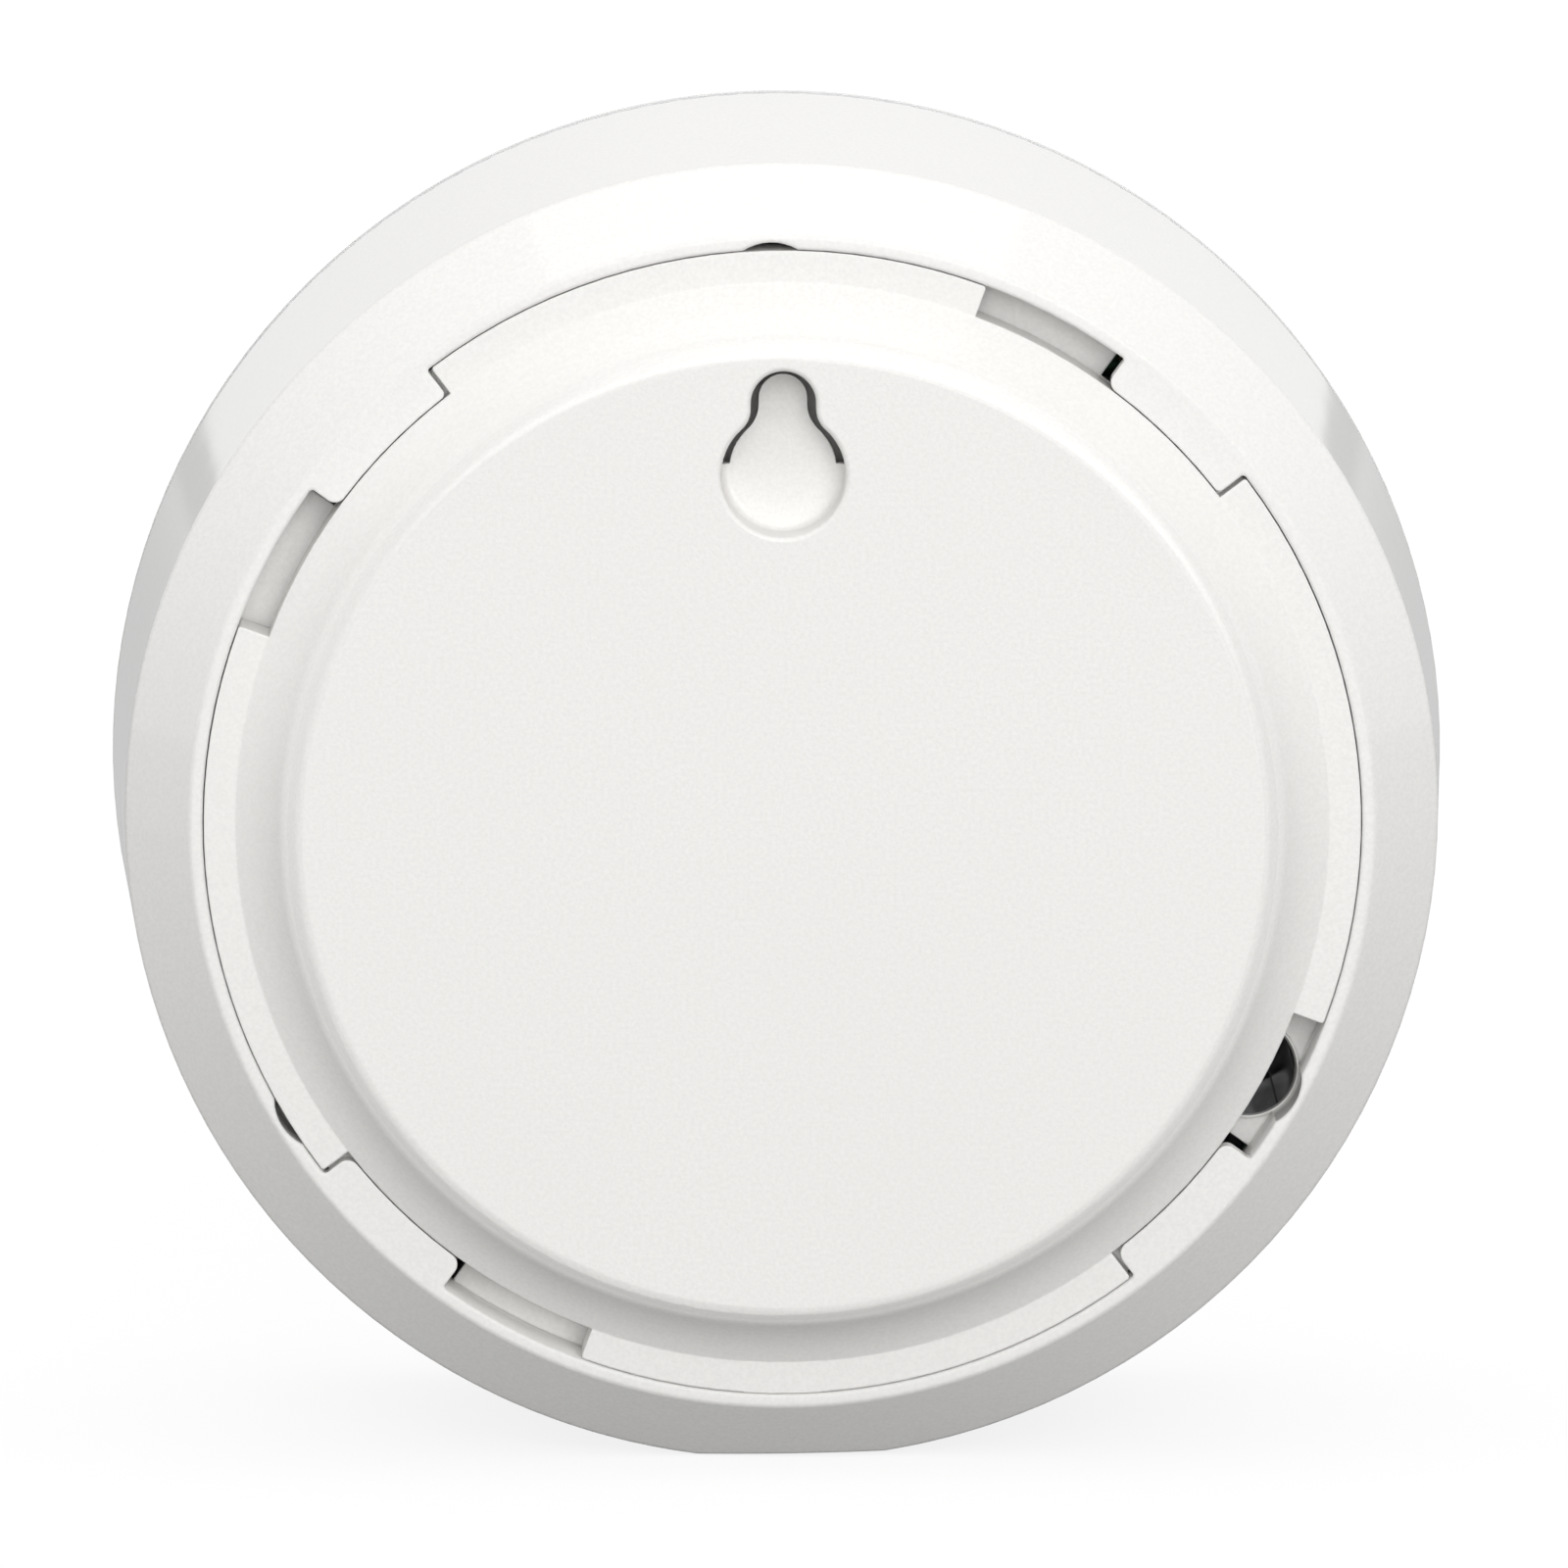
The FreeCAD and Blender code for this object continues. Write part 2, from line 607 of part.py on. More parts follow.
def rear_housing():
    front_radius = flank_radius(HOUSING_FRONT_Y)
    shell = turned([(0, LIP_Y), (LIP_RADIUS, LIP_Y), (RIM_RADIUS, RIM_Y),
                    (front_radius, HOUSING_FRONT_Y), (0, HOUSING_FRONT_Y)])
    soft = [edge for edge in shell.Edges
            if edge.BoundBox.YLength < NEAR and edge.BoundBox.YMin > RIM_Y - OVERLAP]
    shell = shell.makeFillet(EDGE_SOFT, soft)
    shell = shell.cut([below_foot(FOOT_LEVEL), body_hollow(), disc(RECESS_RADIUS, FLOOR_Y, LIP_Y + OVERLAP)])

    added = [battery_tray()]
    removed = [battery_room()] + contact_slots(CELL_Y, TRAY_Y - OVERLAP)
    for angle in around(WELL_COUNT, FIRST_WELL):
        centre = seen(WELL_CIRCLE, angle)
        collar_radius = WELL_RADIUS + WELL_COLLAR_WALL
        added.append(disc(collar_radius, FLOOR_Y + WELL_COLLAR_HEIGHT, UNDER_FLOOR_Y, centre))
        added.append(disc(WELL_TUBE_RADIUS, FLOOR_Y - FLOOR_WALL / 2, WELL_END_Y, centre))
        removed.append(disc(collar_radius, FLOOR_Y + WELL_COLLAR_HEIGHT, LIP_Y + OVERLAP, centre))
        removed.append(disc(WELL_RADIUS, LIP_Y, WELL_SEAT_Y, centre))
        removed.append(disc(SCREW_RADIUS + SCREW_CLEARANCE, WELL_SEAT_Y + OVERLAP, WELL_END_Y - OVERLAP, centre))
    for angle in around(POST_COUNT, FIRST_POST):
        centre = seen(POST_CIRCLE, angle)
        added.append(disc(POST_RADIUS, FLOOR_Y - FLOOR_WALL / 2, BOARD_BACK_Y, centre))
        pilot_end = BOARD_FRONT_Y + BOARD_SCREW_LENGTH + OVERLAP
        removed.append(disc(BOARD_SCREW_RADIUS + PILOT_CLEARANCE, BOARD_BACK_Y - OVERLAP, pilot_end, centre))
    pin_centre = seen(PLUNGER_CIRCLE, TAMPER_ANGLE)
    pin_room = PIN_RADIUS + PIN_GAP
    guide_end = UNDER_FLOOR_Y - PIN_GUIDE_LENGTH
    added.append(disc(pin_room + PIN_GUIDE_WALL, FLOOR_Y - FLOOR_WALL / 2, guide_end, pin_centre))
    removed.append(disc(pin_room, FLOOR_Y + OVERLAP, guide_end - OVERLAP, pin_centre))
    button_centre = seen(PLUNGER_CIRCLE, BUTTON_ANGLE)
    removed.append(disc(BUTTON_RADIUS + PIN_GAP, FLOOR_Y + OVERLAP, UNDER_FLOOR_Y - OVERLAP, button_centre))

    tabs = []
    for angle, corner, past_end in zip(around(TAB_COUNT, FIRST_TAB), TAB_START_CORNERS, TAB_SLOT_ENDS):
        tabs.append(tab_with_roots(angle, corner))
        removed.append(tab_slot(angle, past_end))
    return shell.fuse(added).cut(removed).fuse(tabs).removeSplitter()


def cross_cut(depth_from, depth_to, centre):
    across = block(CROSS_SPAN, depth_from, depth_to, CROSS_WIDTH, centre)
    return across.fuse(block(CROSS_WIDTH, depth_from, depth_to, CROSS_SPAN, centre))


def screw(head_radius, head_height, radius, length, seat_y, centre, towards):
    head = disc(head_radius, seat_y, seat_y - towards * head_height, centre)
    shank = disc(radius, seat_y, seat_y + towards * length, centre)
    top = seat_y - towards * head_height
    recess = cross_cut(top, top + towards * min(CROSS_DEPTH, head_height / 2), centre)
    return head.fuse(shank).cut(recess).removeSplitter()


def housing_screws():
    screws = [screw(SCREW_HEAD_RADIUS, SCREW_HEAD_HEIGHT, SCREW_RADIUS, SCREW_LENGTH, WELL_SEAT_Y,
                    seen(WELL_CIRCLE, angle), -1) for angle in around(WELL_COUNT, FIRST_WELL)]
    return Part.makeCompound(screws)


def board_screws():
    screws = [screw(BOARD_SCREW_HEAD, BOARD_SCREW_HEAD_HEIGHT, BOARD_SCREW_RADIUS, BOARD_SCREW_LENGTH,
                    BOARD_FRONT_Y, seen(POST_CIRCLE, angle), 1) for angle in around(POST_COUNT, FIRST_POST)]
    return Part.makeCompound(screws)


# Batteries and their contacts
def battery_cell():
    edge = CELL_EDGE
    base = CELL_LENGTH / 2
    shoulder = base - CELL_NUB_LENGTH
    cell = turned([(0, -base), (CELL_RADIUS - edge, -base), (CELL_RADIUS, edge - base),
                   (CELL_RADIUS, shoulder - edge), (CELL_RADIUS - edge, shoulder),
                   (CELL_NUB_RADIUS, shoulder), (CELL_NUB_RADIUS, base), (0, base)])
    cell.rotate(ORIGIN, V(0, 0, 1), 90)
    return cell


def battery_cells():
    cells = []
    for side in (-1, 1):
        cell = battery_cell()
        cell.rotate(ORIGIN, BACK, 90 * (1 + side))
        cell.translate(V(0, CELL_Y, side * CELL_SPACING / 2))
        cells.append(cell)
    return Part.makeCompound(cells)


def contact_x():
    return BAY_HALF_LENGTH - CONTACT_WALL / 2


def strip(points, z_middle):
    half = CONTACT_WALL / 2
    pieces = []
    for start, end in zip(points, points[1:]):
        along = (end - start).normalize()
        side = V(-along.y, along.x, 0) * half
        corners = [start + side, end + side, end - side, start - side, start + side]
        pieces.append(Part.Face(Part.makePolygon(corners)).extrude(V(0, 0, CONTACT_WIDTH)))
    for point in points[1:-1]:
        pieces.append(Part.makeCylinder(half, CONTACT_WIDTH, point, V(0, 0, 1)))
    joined = pieces[0].fuse(pieces[1:]).removeSplitter()
    joined.translate(V(0, 0, z_middle - CONTACT_WIDTH / 2))
    return joined


def battery_contacts():
    contacts = []
    touch = CELL_LENGTH / 2 + CONTACT_WALL
    for side in (-1, 1):
        points = [
            V(side * contact_x(), CELL_Y + CONTACT_TOP, 0),
            V(side * touch, CELL_Y, 0),
            V(side * contact_x(), CELL_Y - CONTACT_BEND, 0),
            V(side * contact_x(), BOARD_FRONT_Y - CONTACT_TAIL, 0),
        ]
        for cell in (-1, 1):
            contacts.append(strip(points, cell * CELL_SPACING / 2))
    return Part.makeCompound(contacts)


# Circuit board and what is soldered to it
def main_board():
    board = disc(BOARD_RADIUS, BOARD_BACK_Y, BOARD_FRONT_Y)
    removed = contact_slots(BOARD_BACK_Y + OVERLAP, BOARD_FRONT_Y - OVERLAP)
    for angle in around(WELL_COUNT, FIRST_WELL):
        centre = seen(WELL_CIRCLE, angle)
        removed.append(disc(WELL_TUBE_RADIUS + BOARD_WELL_GAP, BOARD_BACK_Y + OVERLAP,
                            BOARD_FRONT_Y - OVERLAP, centre))
    for angle in around(POST_COUNT, FIRST_POST):
        centre = seen(POST_CIRCLE, angle)
        removed.append(disc(BOARD_SCREW_RADIUS + BOARD_HOLE_GAP, BOARD_BACK_Y + OVERLAP,
                            BOARD_FRONT_Y - OVERLAP, centre))
    return board.cut(removed)


def light_leds():
    circle = BOARD_RADIUS - LED_EDGE - LED_DEPTH / 2
    clear = math.degrees((WELL_TUBE_RADIUS + LED_SIZE) / WELL_CIRCLE)
    leds = []
    for angle in around(LED_COUNT, FIRST_WELL):
        off_well = (angle - FIRST_WELL) % (360.0 / WELL_COUNT)
        if min(off_well, 360.0 / WELL_COUNT - off_well) > clear:
            leds.append(block_at(circle, angle, LED_SIZE, LED_DEPTH, BOARD_FRONT_Y, BOARD_FRONT_Y - LED_HEIGHT))
    return Part.makeCompound(leds)


def radio_module():
    return block_at(RADIO_CIRCLE, RADIO_ANGLE, RADIO_WIDTH, RADIO_DEPTH, BOARD_FRONT_Y, BOARD_FRONT_Y - RADIO_WALL)


def radio_shield():
    top = BOARD_FRONT_Y - RADIO_WALL
    can = block_at(RADIO_CIRCLE, RADIO_ANGLE, SHIELD_WIDTH, SHIELD_DEPTH, top, top - SHIELD_HEIGHT)
    return can.makeFillet(SHIELD_CORNER, [edge for edge in can.Edges if is_upright(edge)])


def antenna():
    high = BOARD_FRONT_Y - ANTENNA_HEIGHT
    middle = (ANTENNA_START + ANTENNA_END) / 2
    start = seen(ANTENNA_CIRCLE, ANTENNA_START, high)
    path = Part.Wire([arc(start, seen(ANTENNA_CIRCLE, middle, high), seen(ANTENNA_CIRCLE, ANTENNA_END, high))])
    tangent = path.Edges[0].tangentAt(path.Edges[0].FirstParameter)
    profile = Part.Wire([Part.makeCircle(ANTENNA_RADIUS, start, tangent)])
    wire = path.makePipeShell([profile], True, False)
    post = disc(ANTENNA_POST_RADIUS, BOARD_FRONT_Y, high - ANTENNA_POST_RADIUS, start)
    return wire.fuse(post).removeSplitter()


def coil_core():
    bottom = BOARD_FRONT_Y
    top = bottom - COIL_HEIGHT
    core = turned([(0, bottom), (COIL_FLANGE_RADIUS, bottom), (COIL_FLANGE_RADIUS, bottom - COIL_FLANGE_WALL),
                   (COIL_CORE_RADIUS, bottom - COIL_FLANGE_WALL), (COIL_CORE_RADIUS, top + COIL_FLANGE_WALL),
                   (COIL_FLANGE_RADIUS, top + COIL_FLANGE_WALL), (COIL_FLANGE_RADIUS, top), (0, top)])
    core.translate(seen(PART_CIRCLE, COIL_ANGLE))
    return core


def coil_winding():
    bottom = BOARD_FRONT_Y - COIL_FLANGE_WALL
    top = BOARD_FRONT_Y - COIL_HEIGHT + COIL_FLANGE_WALL
    return ring(COIL_CORE_RADIUS, COIL_WINDING_RADIUS, bottom, top, seen(PART_CIRCLE, COIL_ANGLE))


def storage_capacitor():
    bottom = BOARD_FRONT_Y
    top = bottom - CAPACITOR_HEIGHT
    waist = bottom - CAPACITOR_GROOVE_HEIGHT
    narrow = CAPACITOR_RADIUS - CAPACITOR_GROOVE
    can = turned([(0, bottom), (CAPACITOR_RADIUS, bottom), (CAPACITOR_RADIUS, waist + CAPACITOR_GROOVE),
                  (narrow, waist), (CAPACITOR_RADIUS, waist - CAPACITOR_GROOVE),
                  (CAPACITOR_RADIUS, top + CAPACITOR_GROOVE), (narrow, top), (0, top)])
    can.translate(seen(PART_CIRCLE, CAPACITOR_ANGLE))
    return can


def controller_chip():
    return block_at(PART_CIRCLE, CHIP_ANGLE, CHIP_SIZE, CHIP_SIZE, BOARD_FRONT_Y, BOARD_FRONT_Y - CHIP_HEIGHT)


def lead_socket():
    circle = SOUNDER_RADIUS + SOCKET_GAP + SOCKET_DEPTH / 2
    return block_at(circle, LEAD_ANGLE, SOCKET_WIDTH, SOCKET_DEPTH, BOARD_FRONT_Y, BOARD_FRONT_Y - SOCKET_HEIGHT)


def sounder_leads():
    leads = []
    for side in (-1, 1):
        start = V(-SOUNDER_RADIUS, BOARD_FRONT_Y - LEAD_HEIGHT, side * LEAD_SPACING / 2)
        lead = Part.makeCylinder(LEAD_RADIUS, SOCKET_GAP, start, V(-1, 0, 0))
        lead.rotate(ORIGIN, BACK, LEAD_ANGLE)
        leads.append(lead)
    return Part.makeCompound(leads)


def board_switch(angle):
    centre = seen(PLUNGER_CIRCLE, angle)
    case_top = BOARD_BACK_Y + SWITCH_HEIGHT
    case = block_at(PLUNGER_CIRCLE, angle, SWITCH_SIZE, SWITCH_SIZE, BOARD_BACK_Y, case_top)
    return case.fuse(disc(SWITCH_ACTUATOR_RADIUS, case_top - OVERLAP, SWITCH_TOP_Y, centre)).removeSplitter()


# Sounder
def disc_y():
    return SOUNDER_FRONT_Y + SOUNDER_FACE_WALL + SOUNDER_CHAMBER_HEIGHT


def sounder_case():
    back = SOUNDER_BACK_Y - SOUNDER_BASE_WALL
    inner = SOUNDER_BORE
    face = SOUNDER_FRONT_Y + SOUNDER_FACE_WALL
    return turned([(inner, back), (SOUNDER_RADIUS, back), (SOUNDER_RADIUS, SOUNDER_FRONT_Y),
                   (SOUNDER_MOUTH, SOUNDER_FRONT_Y), (SOUNDER_MOUTH, face), (SOUNDER_CHAMBER_RADIUS, face),
                   (SOUNDER_CHAMBER_RADIUS, disc_y()), (inner, disc_y())])


def sounder_base():
    back = SOUNDER_BACK_Y
    shoulder = back - SOUNDER_BASE_WALL
    outer = SOUNDER_BORE - SPIGOT_GAP
    inner = outer - SPIGOT_WALL
    end = disc_y() + DISC_WALL
    return turned([(0, back), (SOUNDER_RADIUS, back), (SOUNDER_RADIUS, shoulder), (outer, shoulder),
                   (outer, end), (inner, end), (inner, shoulder), (0, shoulder)])


def piezo_disc():
    return disc(DISC_RADIUS, disc_y(), disc_y() + DISC_WALL)


def piezo_ceramic():
    back = disc_y() + DISC_WALL
    return disc(CERAMIC_RADIUS, back, back + CERAMIC_WALL)


def sounder_gasket():
    outer = SOUNDER_RADIUS - COLLAR_GAP
    return ring(outer - GASKET_WIDTH, outer, SOUNDER_FRONT_Y, SEAT_Y)


def sounder_pad():
    return disc(PAD_RADIUS, BOARD_FRONT_Y, SOUNDER_BACK_Y)


# Front
def dome_y(radius, inset=0.0):
    edge = flank_radius(COVER_BACK_Y) - COVER_EDGE_ROUND
    return DOME_TIP_Y + inset + DOME_RISE * (radius / edge) ** 2


def dome_arc(radius_from, radius_to, inset):
    points = [V(radius, dome_y(radius, inset), 0)
              for radius in (radius_from, (radius_from + radius_to) / 2, radius_to)]
    return arc(points[0], points[1], points[2])


def guide_outer():
    return flank_radius(RIM_Y) - BODY_WALL - BAND_SPIGOT_GAP - BAND_SPIGOT_WALL - 2 * COVER_SPIGOT_GAP


def light_ring():
    outer = flank_radius(BAND_BACK_Y)
    spigot = flank_radius(HOUSING_FRONT_Y + BAND_SPIGOT_HEIGHT) - BODY_WALL - BAND_SPIGOT_GAP
    guide = guide_outer()
    guide_inner = guide - GUIDE_WALL
    band = turned([(guide_inner, BAND_BACK_Y), (outer, BAND_BACK_Y), (outer, BAND_FRONT_Y),
                   (guide_inner, BAND_FRONT_Y)])
    band = band.cut(below_foot(FOOT_LEVEL))
    hidden = ring(spigot - BAND_SPIGOT_WALL, spigot, BAND_BACK_Y, HOUSING_FRONT_Y + BAND_SPIGOT_HEIGHT)
    hidden = hidden.cut(below_foot(FOOT_LEVEL - BODY_WALL - BAND_SPIGOT_GAP))
    guide_end = BOARD_FRONT_Y - LED_HEIGHT - GUIDE_LED_GAP
    guide_tube = ring(guide_inner, guide, BAND_BACK_Y, guide_end)
    well_room = [disc(WELL_TUBE_RADIUS + GUIDE_WELL_GAP, WELL_END_Y - GUIDE_WELL_GAP, guide_end + OVERLAP,
                      seen(WELL_CIRCLE, angle)) for angle in around(WELL_COUNT, FIRST_WELL)]
    guide_tube = guide_tube.cut(well_room)
    return band.fuse([hidden, guide_tube]).removeSplitter()


def cover_shell():
    edge_radius = flank_radius(COVER_BACK_Y)
    face_radius = edge_radius - COVER_EDGE_ROUND
    bend = COVER_EDGE_ROUND * (1 - math.sqrt(0.5))
    spigot = guide_outer() - GUIDE_WALL - COVER_SPIGOT_GAP
    inner = spigot - COVER_SPIGOT_WALL
    end = COVER_BACK_Y + COVER_SPIGOT_HEIGHT
    start = V(face_radius, COVER_FACE_Y, 0)
    corners = [
        V(edge_radius, COVER_FACE_Y + COVER_EDGE_ROUND, 0),
        V(edge_radius, COVER_BACK_Y, 0),
        V(spigot, COVER_BACK_Y, 0),
        V(spigot, end, 0),
        V(inner, end, 0),
        V(inner, dome_y(inner, COVER_WALL), 0),
    ]
    edges = [line(start_point, end_point) for start_point, end_point in zip(corners, corners[1:])]
    edges.append(arc(start, V(edge_radius - bend, COVER_FACE_Y + bend, 0), corners[0]))
    edges.append(dome_arc(inner, 0, COVER_WALL))
    edges.append(line(V(0, dome_y(0, COVER_WALL), 0), V(0, dome_y(0), 0)))
    edges.append(dome_arc(0, face_radius, 0))
    return turned_edges(edges).cut(below_foot(FOOT_LEVEL))


def sound_slots():
    slots = []
    for index in range(SOUND_RING_COUNT):
        radius = SOUND_RING_FIRST + index * SOUND_RING_PITCH
        count = 3 * (index + 1)
        land = math.degrees((SOUND_SLOT_LAND + SOUND_SLOT_WIDTH) / radius)
        half = (360.0 / count - land) / 2
        for middle in around(count, 90.0):
            inner = radius - SOUND_SLOT_WIDTH / 2
            outer = radius + SOUND_SLOT_WIDTH / 2
            front = DOME_TIP_Y - OVERLAP
            slot = sector(inner, outer, middle - half, middle + half, SEAT_Y, front)
            ends = [disc(SOUND_SLOT_WIDTH / 2, SEAT_Y, front, seen(radius, middle + side * half))
                    for side in (-1, 1)]
            slots.append(slot.fuse(ends).removeSplitter())
    return slots


def sound_dish():
    floor = DOME_TIP_Y + SOUND_DISH_DEPTH
    outer = SOUND_RADIUS + SOUND_DISH_MARGIN
    front = DOME_TIP_Y - OVERLAP
    slope = SOUND_DISH_EDGE / SOUND_DISH_DEPTH
    return turned([(0, floor), (outer, floor), (outer + slope * (floor - front), front), (0, front)])


def front_cover():
    cover = cover_shell()
    collar_inner = SOUNDER_RADIUS + COLLAR_GAP
    collar_outer = collar_inner + COLLAR_WALL
    inside = GRILLE_INSIDE_Y
    added = [
        disc(collar_outer, dome_y(0, COVER_WALL / 2), inside),
        ring(collar_inner, collar_outer, inside, SOUNDER_FRONT_Y + COLLAR_HEIGHT),
        ring(MESH_RADIUS + COLLAR_GAP, collar_outer, inside, SEAT_Y),
    ]
    removed = [sound_dish()] + sound_slots()
    for angle in around(WELL_COUNT, FIRST_WELL):
        centre = seen(WELL_CIRCLE, angle)
        added.append(disc(BOSS_RADIUS, WELL_END_Y, dome_y(WELL_CIRCLE, COVER_WALL / 2), centre))
        pilot_end = WELL_SEAT_Y - SCREW_LENGTH - OVERLAP
        removed.append(disc(SCREW_RADIUS + PILOT_CLEARANCE, WELL_END_Y + OVERLAP, pilot_end, centre))
    return shaped(cover, added, removed)


def dust_mesh():
    return disc(MESH_RADIUS, GRILLE_INSIDE_Y, GRILLE_INSIDE_Y + MESH_WALL)


# Moving pins
def tamper_plunger():
    centre = seen(PLUNGER_CIRCLE, TAMPER_ANGLE)
    guide_end = UNDER_FLOOR_Y - PIN_GUIDE_LENGTH
    collar_y = guide_end - PIN_TRAVEL - PIN_STOP_GAP
    round_y = PIN_TIP_Y - PIN_RADIUS
    pin = disc(PIN_RADIUS, round_y, SWITCH_TOP_Y + SWITCH_GAP, centre)
    tip = Part.makeSphere(PIN_RADIUS, V(centre.x, round_y, centre.z))
    collar = disc(PIN_RADIUS + PIN_COLLAR, collar_y, collar_y - PIN_COLLAR_WALL, centre)
    return pin.fuse([tip, collar]).removeSplitter()


def function_button():
    centre = seen(PLUNGER_CIRCLE, BUTTON_ANGLE)
    top = FLOOR_Y - BUTTON_SUNK
    flange_y = UNDER_FLOOR_Y - BUTTON_FLANGE_GAP
    cap = disc(BUTTON_RADIUS, top, flange_y, centre)
    cap = cap.makeFillet(BUTTON_EDGE, [edge for edge in cap.Edges if abs(edge.BoundBox.YMin - top) < NEAR])
    flange = disc(BUTTON_RADIUS + BUTTON_FLANGE, flange_y, flange_y - BUTTON_FLANGE_WALL, centre)
    stem_end = SWITCH_TOP_Y + SWITCH_GAP + BUTTON_TRAVEL
    stem = disc(BUTTON_STEM, flange_y, stem_end, centre)
    return cap.fuse([flange, stem]).removeSplitter()


# Build and write every piece
BODY_PIECES = {
    "rear_housing": rear_housing,
    "front_cover": front_cover,
    "light_ring": light_ring,
    "housing_screws": housing_screws,
    "main_board": main_board,
    "board_screws": board_screws,
    "sounder_case": sounder_case,
    "sounder_base": sounder_base,
    "piezo_disc": piezo_disc,
    "piezo_ceramic": piezo_ceramic,
    "sounder_gasket": sounder_gasket,
    "sounder_pad": sounder_pad,
    "sounder_leads": sounder_leads,
    "lead_socket": lead_socket,
    "dust_mesh": dust_mesh,
    "battery_cells": battery_cells,
    "battery_contacts": battery_contacts,
    "light_leds": light_leds,
    "radio_module": radio_module,
    "radio_shield": radio_shield,
    "antenna": antenna,
    "coil_core": coil_core,
    "coil_winding": coil_winding,
    "storage_capacitor": storage_capacitor,
    "controller_chip": controller_chip,
    "tamper_switch": lambda: board_switch(TAMPER_ANGLE),
    "tamper_plunger": tamper_plunger,
    "button_switch": lambda: board_switch(BUTTON_ANGLE),
    "function_button": function_button,
}


def write(name, shape):
    shape.exportStep("parts/%s.step" % name)
    print("%-18s solids %d  volume %9.1f  valid %s" % (name, len(shape.Solids), shape.Volume, shape.isValid()))


os.makedirs("parts", exist_ok=True)
write("mount_plate", mount_plate())
for piece_name, build in BODY_PIECES.items():
    write(piece_name, turned_with_body(build()))
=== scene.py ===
import json
import math

import bpy
from mathutils import Matrix, Vector


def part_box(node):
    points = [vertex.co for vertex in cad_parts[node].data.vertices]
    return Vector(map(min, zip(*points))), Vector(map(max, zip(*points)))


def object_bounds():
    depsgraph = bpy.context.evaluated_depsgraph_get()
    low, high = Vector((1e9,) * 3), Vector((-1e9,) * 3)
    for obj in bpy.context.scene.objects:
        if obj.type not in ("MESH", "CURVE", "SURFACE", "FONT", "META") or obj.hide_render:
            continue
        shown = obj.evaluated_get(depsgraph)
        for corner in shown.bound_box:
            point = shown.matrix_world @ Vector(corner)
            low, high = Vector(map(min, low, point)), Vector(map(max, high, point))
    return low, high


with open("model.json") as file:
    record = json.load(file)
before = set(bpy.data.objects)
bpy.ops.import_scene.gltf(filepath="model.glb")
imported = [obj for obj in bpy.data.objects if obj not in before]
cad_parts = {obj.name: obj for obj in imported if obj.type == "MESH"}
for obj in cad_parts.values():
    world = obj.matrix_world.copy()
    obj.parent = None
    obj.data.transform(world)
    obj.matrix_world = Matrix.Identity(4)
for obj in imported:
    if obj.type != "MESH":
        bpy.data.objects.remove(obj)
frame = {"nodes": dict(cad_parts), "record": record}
CAD_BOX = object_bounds()
NODES = frame["nodes"]

MM = 0.001

# The photograph: seen from the wall's side, slightly from above (angles in degrees)
VIEW_ELEVATION = 9.115
VIEW_TURN = -0.73
VIEW_DISTANCE = 1116 * MM
VIEW_WIDTH = 120.66 * MM
SENSOR_WIDTH = 36.0
NEAREST_SEEN = 0.01
FARTHEST_SEEN = 20.0
PHOTO_PIXELS = 1600
LIP_HEIGHT = -5.4 * MM
LIP_CENTRE_PIXEL = (798.6, 842.4)

# Light: strength of the surroundings, places and sizes of the lamps in metres, power in watts
SURROUND_LIGHT = 0.79
SEEN_WHITE = 1.0
LAMPS = {
    "key_softbox": {"place": (-0.19, 1.51, 0.49), "size": (1.1, 1.0), "power": 11.2, "mirrored": True},
    "fill_softbox": {"place": (-0.15, 1.5, 0.0), "size": (0.9, 0.7), "power": 5.1, "mirrored": True},
    "top_softbox": {"place": (0.0, 0.07, 0.9), "size": (0.86, 0.2), "power": 0.5, "mirrored": True},
    "front_softbox": {"place": (0.0, -1.3, 0.35), "size": (1.0, 0.5), "power": 4.0, "mirrored": False},
}
FLOOR_HALF = 3.0
FLOOR_SHADE = 0.17
FLOOR_GLOW = {"Is Camera Ray": 0.84, "Is Glossy Ray": 0.43, "Is Transmission Ray": 0.84}

# Ranges of a noise's values: soft changes, and patches with crisper borders
USUAL = (0.3, 0.7)
CRISP = (0.35, 0.65)

# White mouldings: colours as they reflect, sizes in millimetres, leans as sines
PLATE_COLOUR = (0.874, 0.864, 0.843)
HOUSING_COLOUR = (0.876, 0.867, 0.849)
PLASTIC_IOR = 1.5
SLOPE_FACING = 0.955
FLAT_FACING = 0.995
GLOSS_PATCHES_PER_MM = 0.07
GLOSS_SPREAD = 0.02
CLOUDS_PER_MM = 0.035
CLOUD_DARKER = 0.985
MOTTLE_PER_MM = 3.2
MOTTLE_DARKER = 0.94
GRAIN_PER_MM = 4.5
GRAIN_DEPTH_MM = 0.012
SLOPE_GRAIN = 0.1
SPECK_PER_MM = 0.16
SPECK_RADIUS_MM = 0.07
SPECK_SHARE = 0.35
SPECK_COLOUR = (0.30, 0.29, 0.28)
BEVEL_SAMPLES = 6
SOFT_EDGE_MM = 0.22

# The plate's rounded shoulder, rubbed smoother by hands, and the dished tongue behind its keyhole
SHOULDER_START_MM = 36.55
SHOULDER_EASE_MM = 1.6
SHOULDER_KNEE_MM = 0.6
SHOULDER_KNEE_LEAN = 0.14
SHOULDER_FADE_MM = 1.7
SHOULDER_END_MM = 2.25
SHOULDER_LAST_LEAN = 0.52
OUTSIDE_FACING = 0.1
RUBBED_FROM_MM = 0.6
RUBBED_UNTIL_MM = 1.2
RUBBED_END_MM = 1.6
RUBBED_ROUGHNESS = 0.75
DISH_START_MM = 30.8
DISH_END_MM = 35.6
DISH_LEAN = 0.5
DISH_BEHIND_MM = -3.0
DISH_HALF_MM = 3.0
DISH_FACING = 0.9

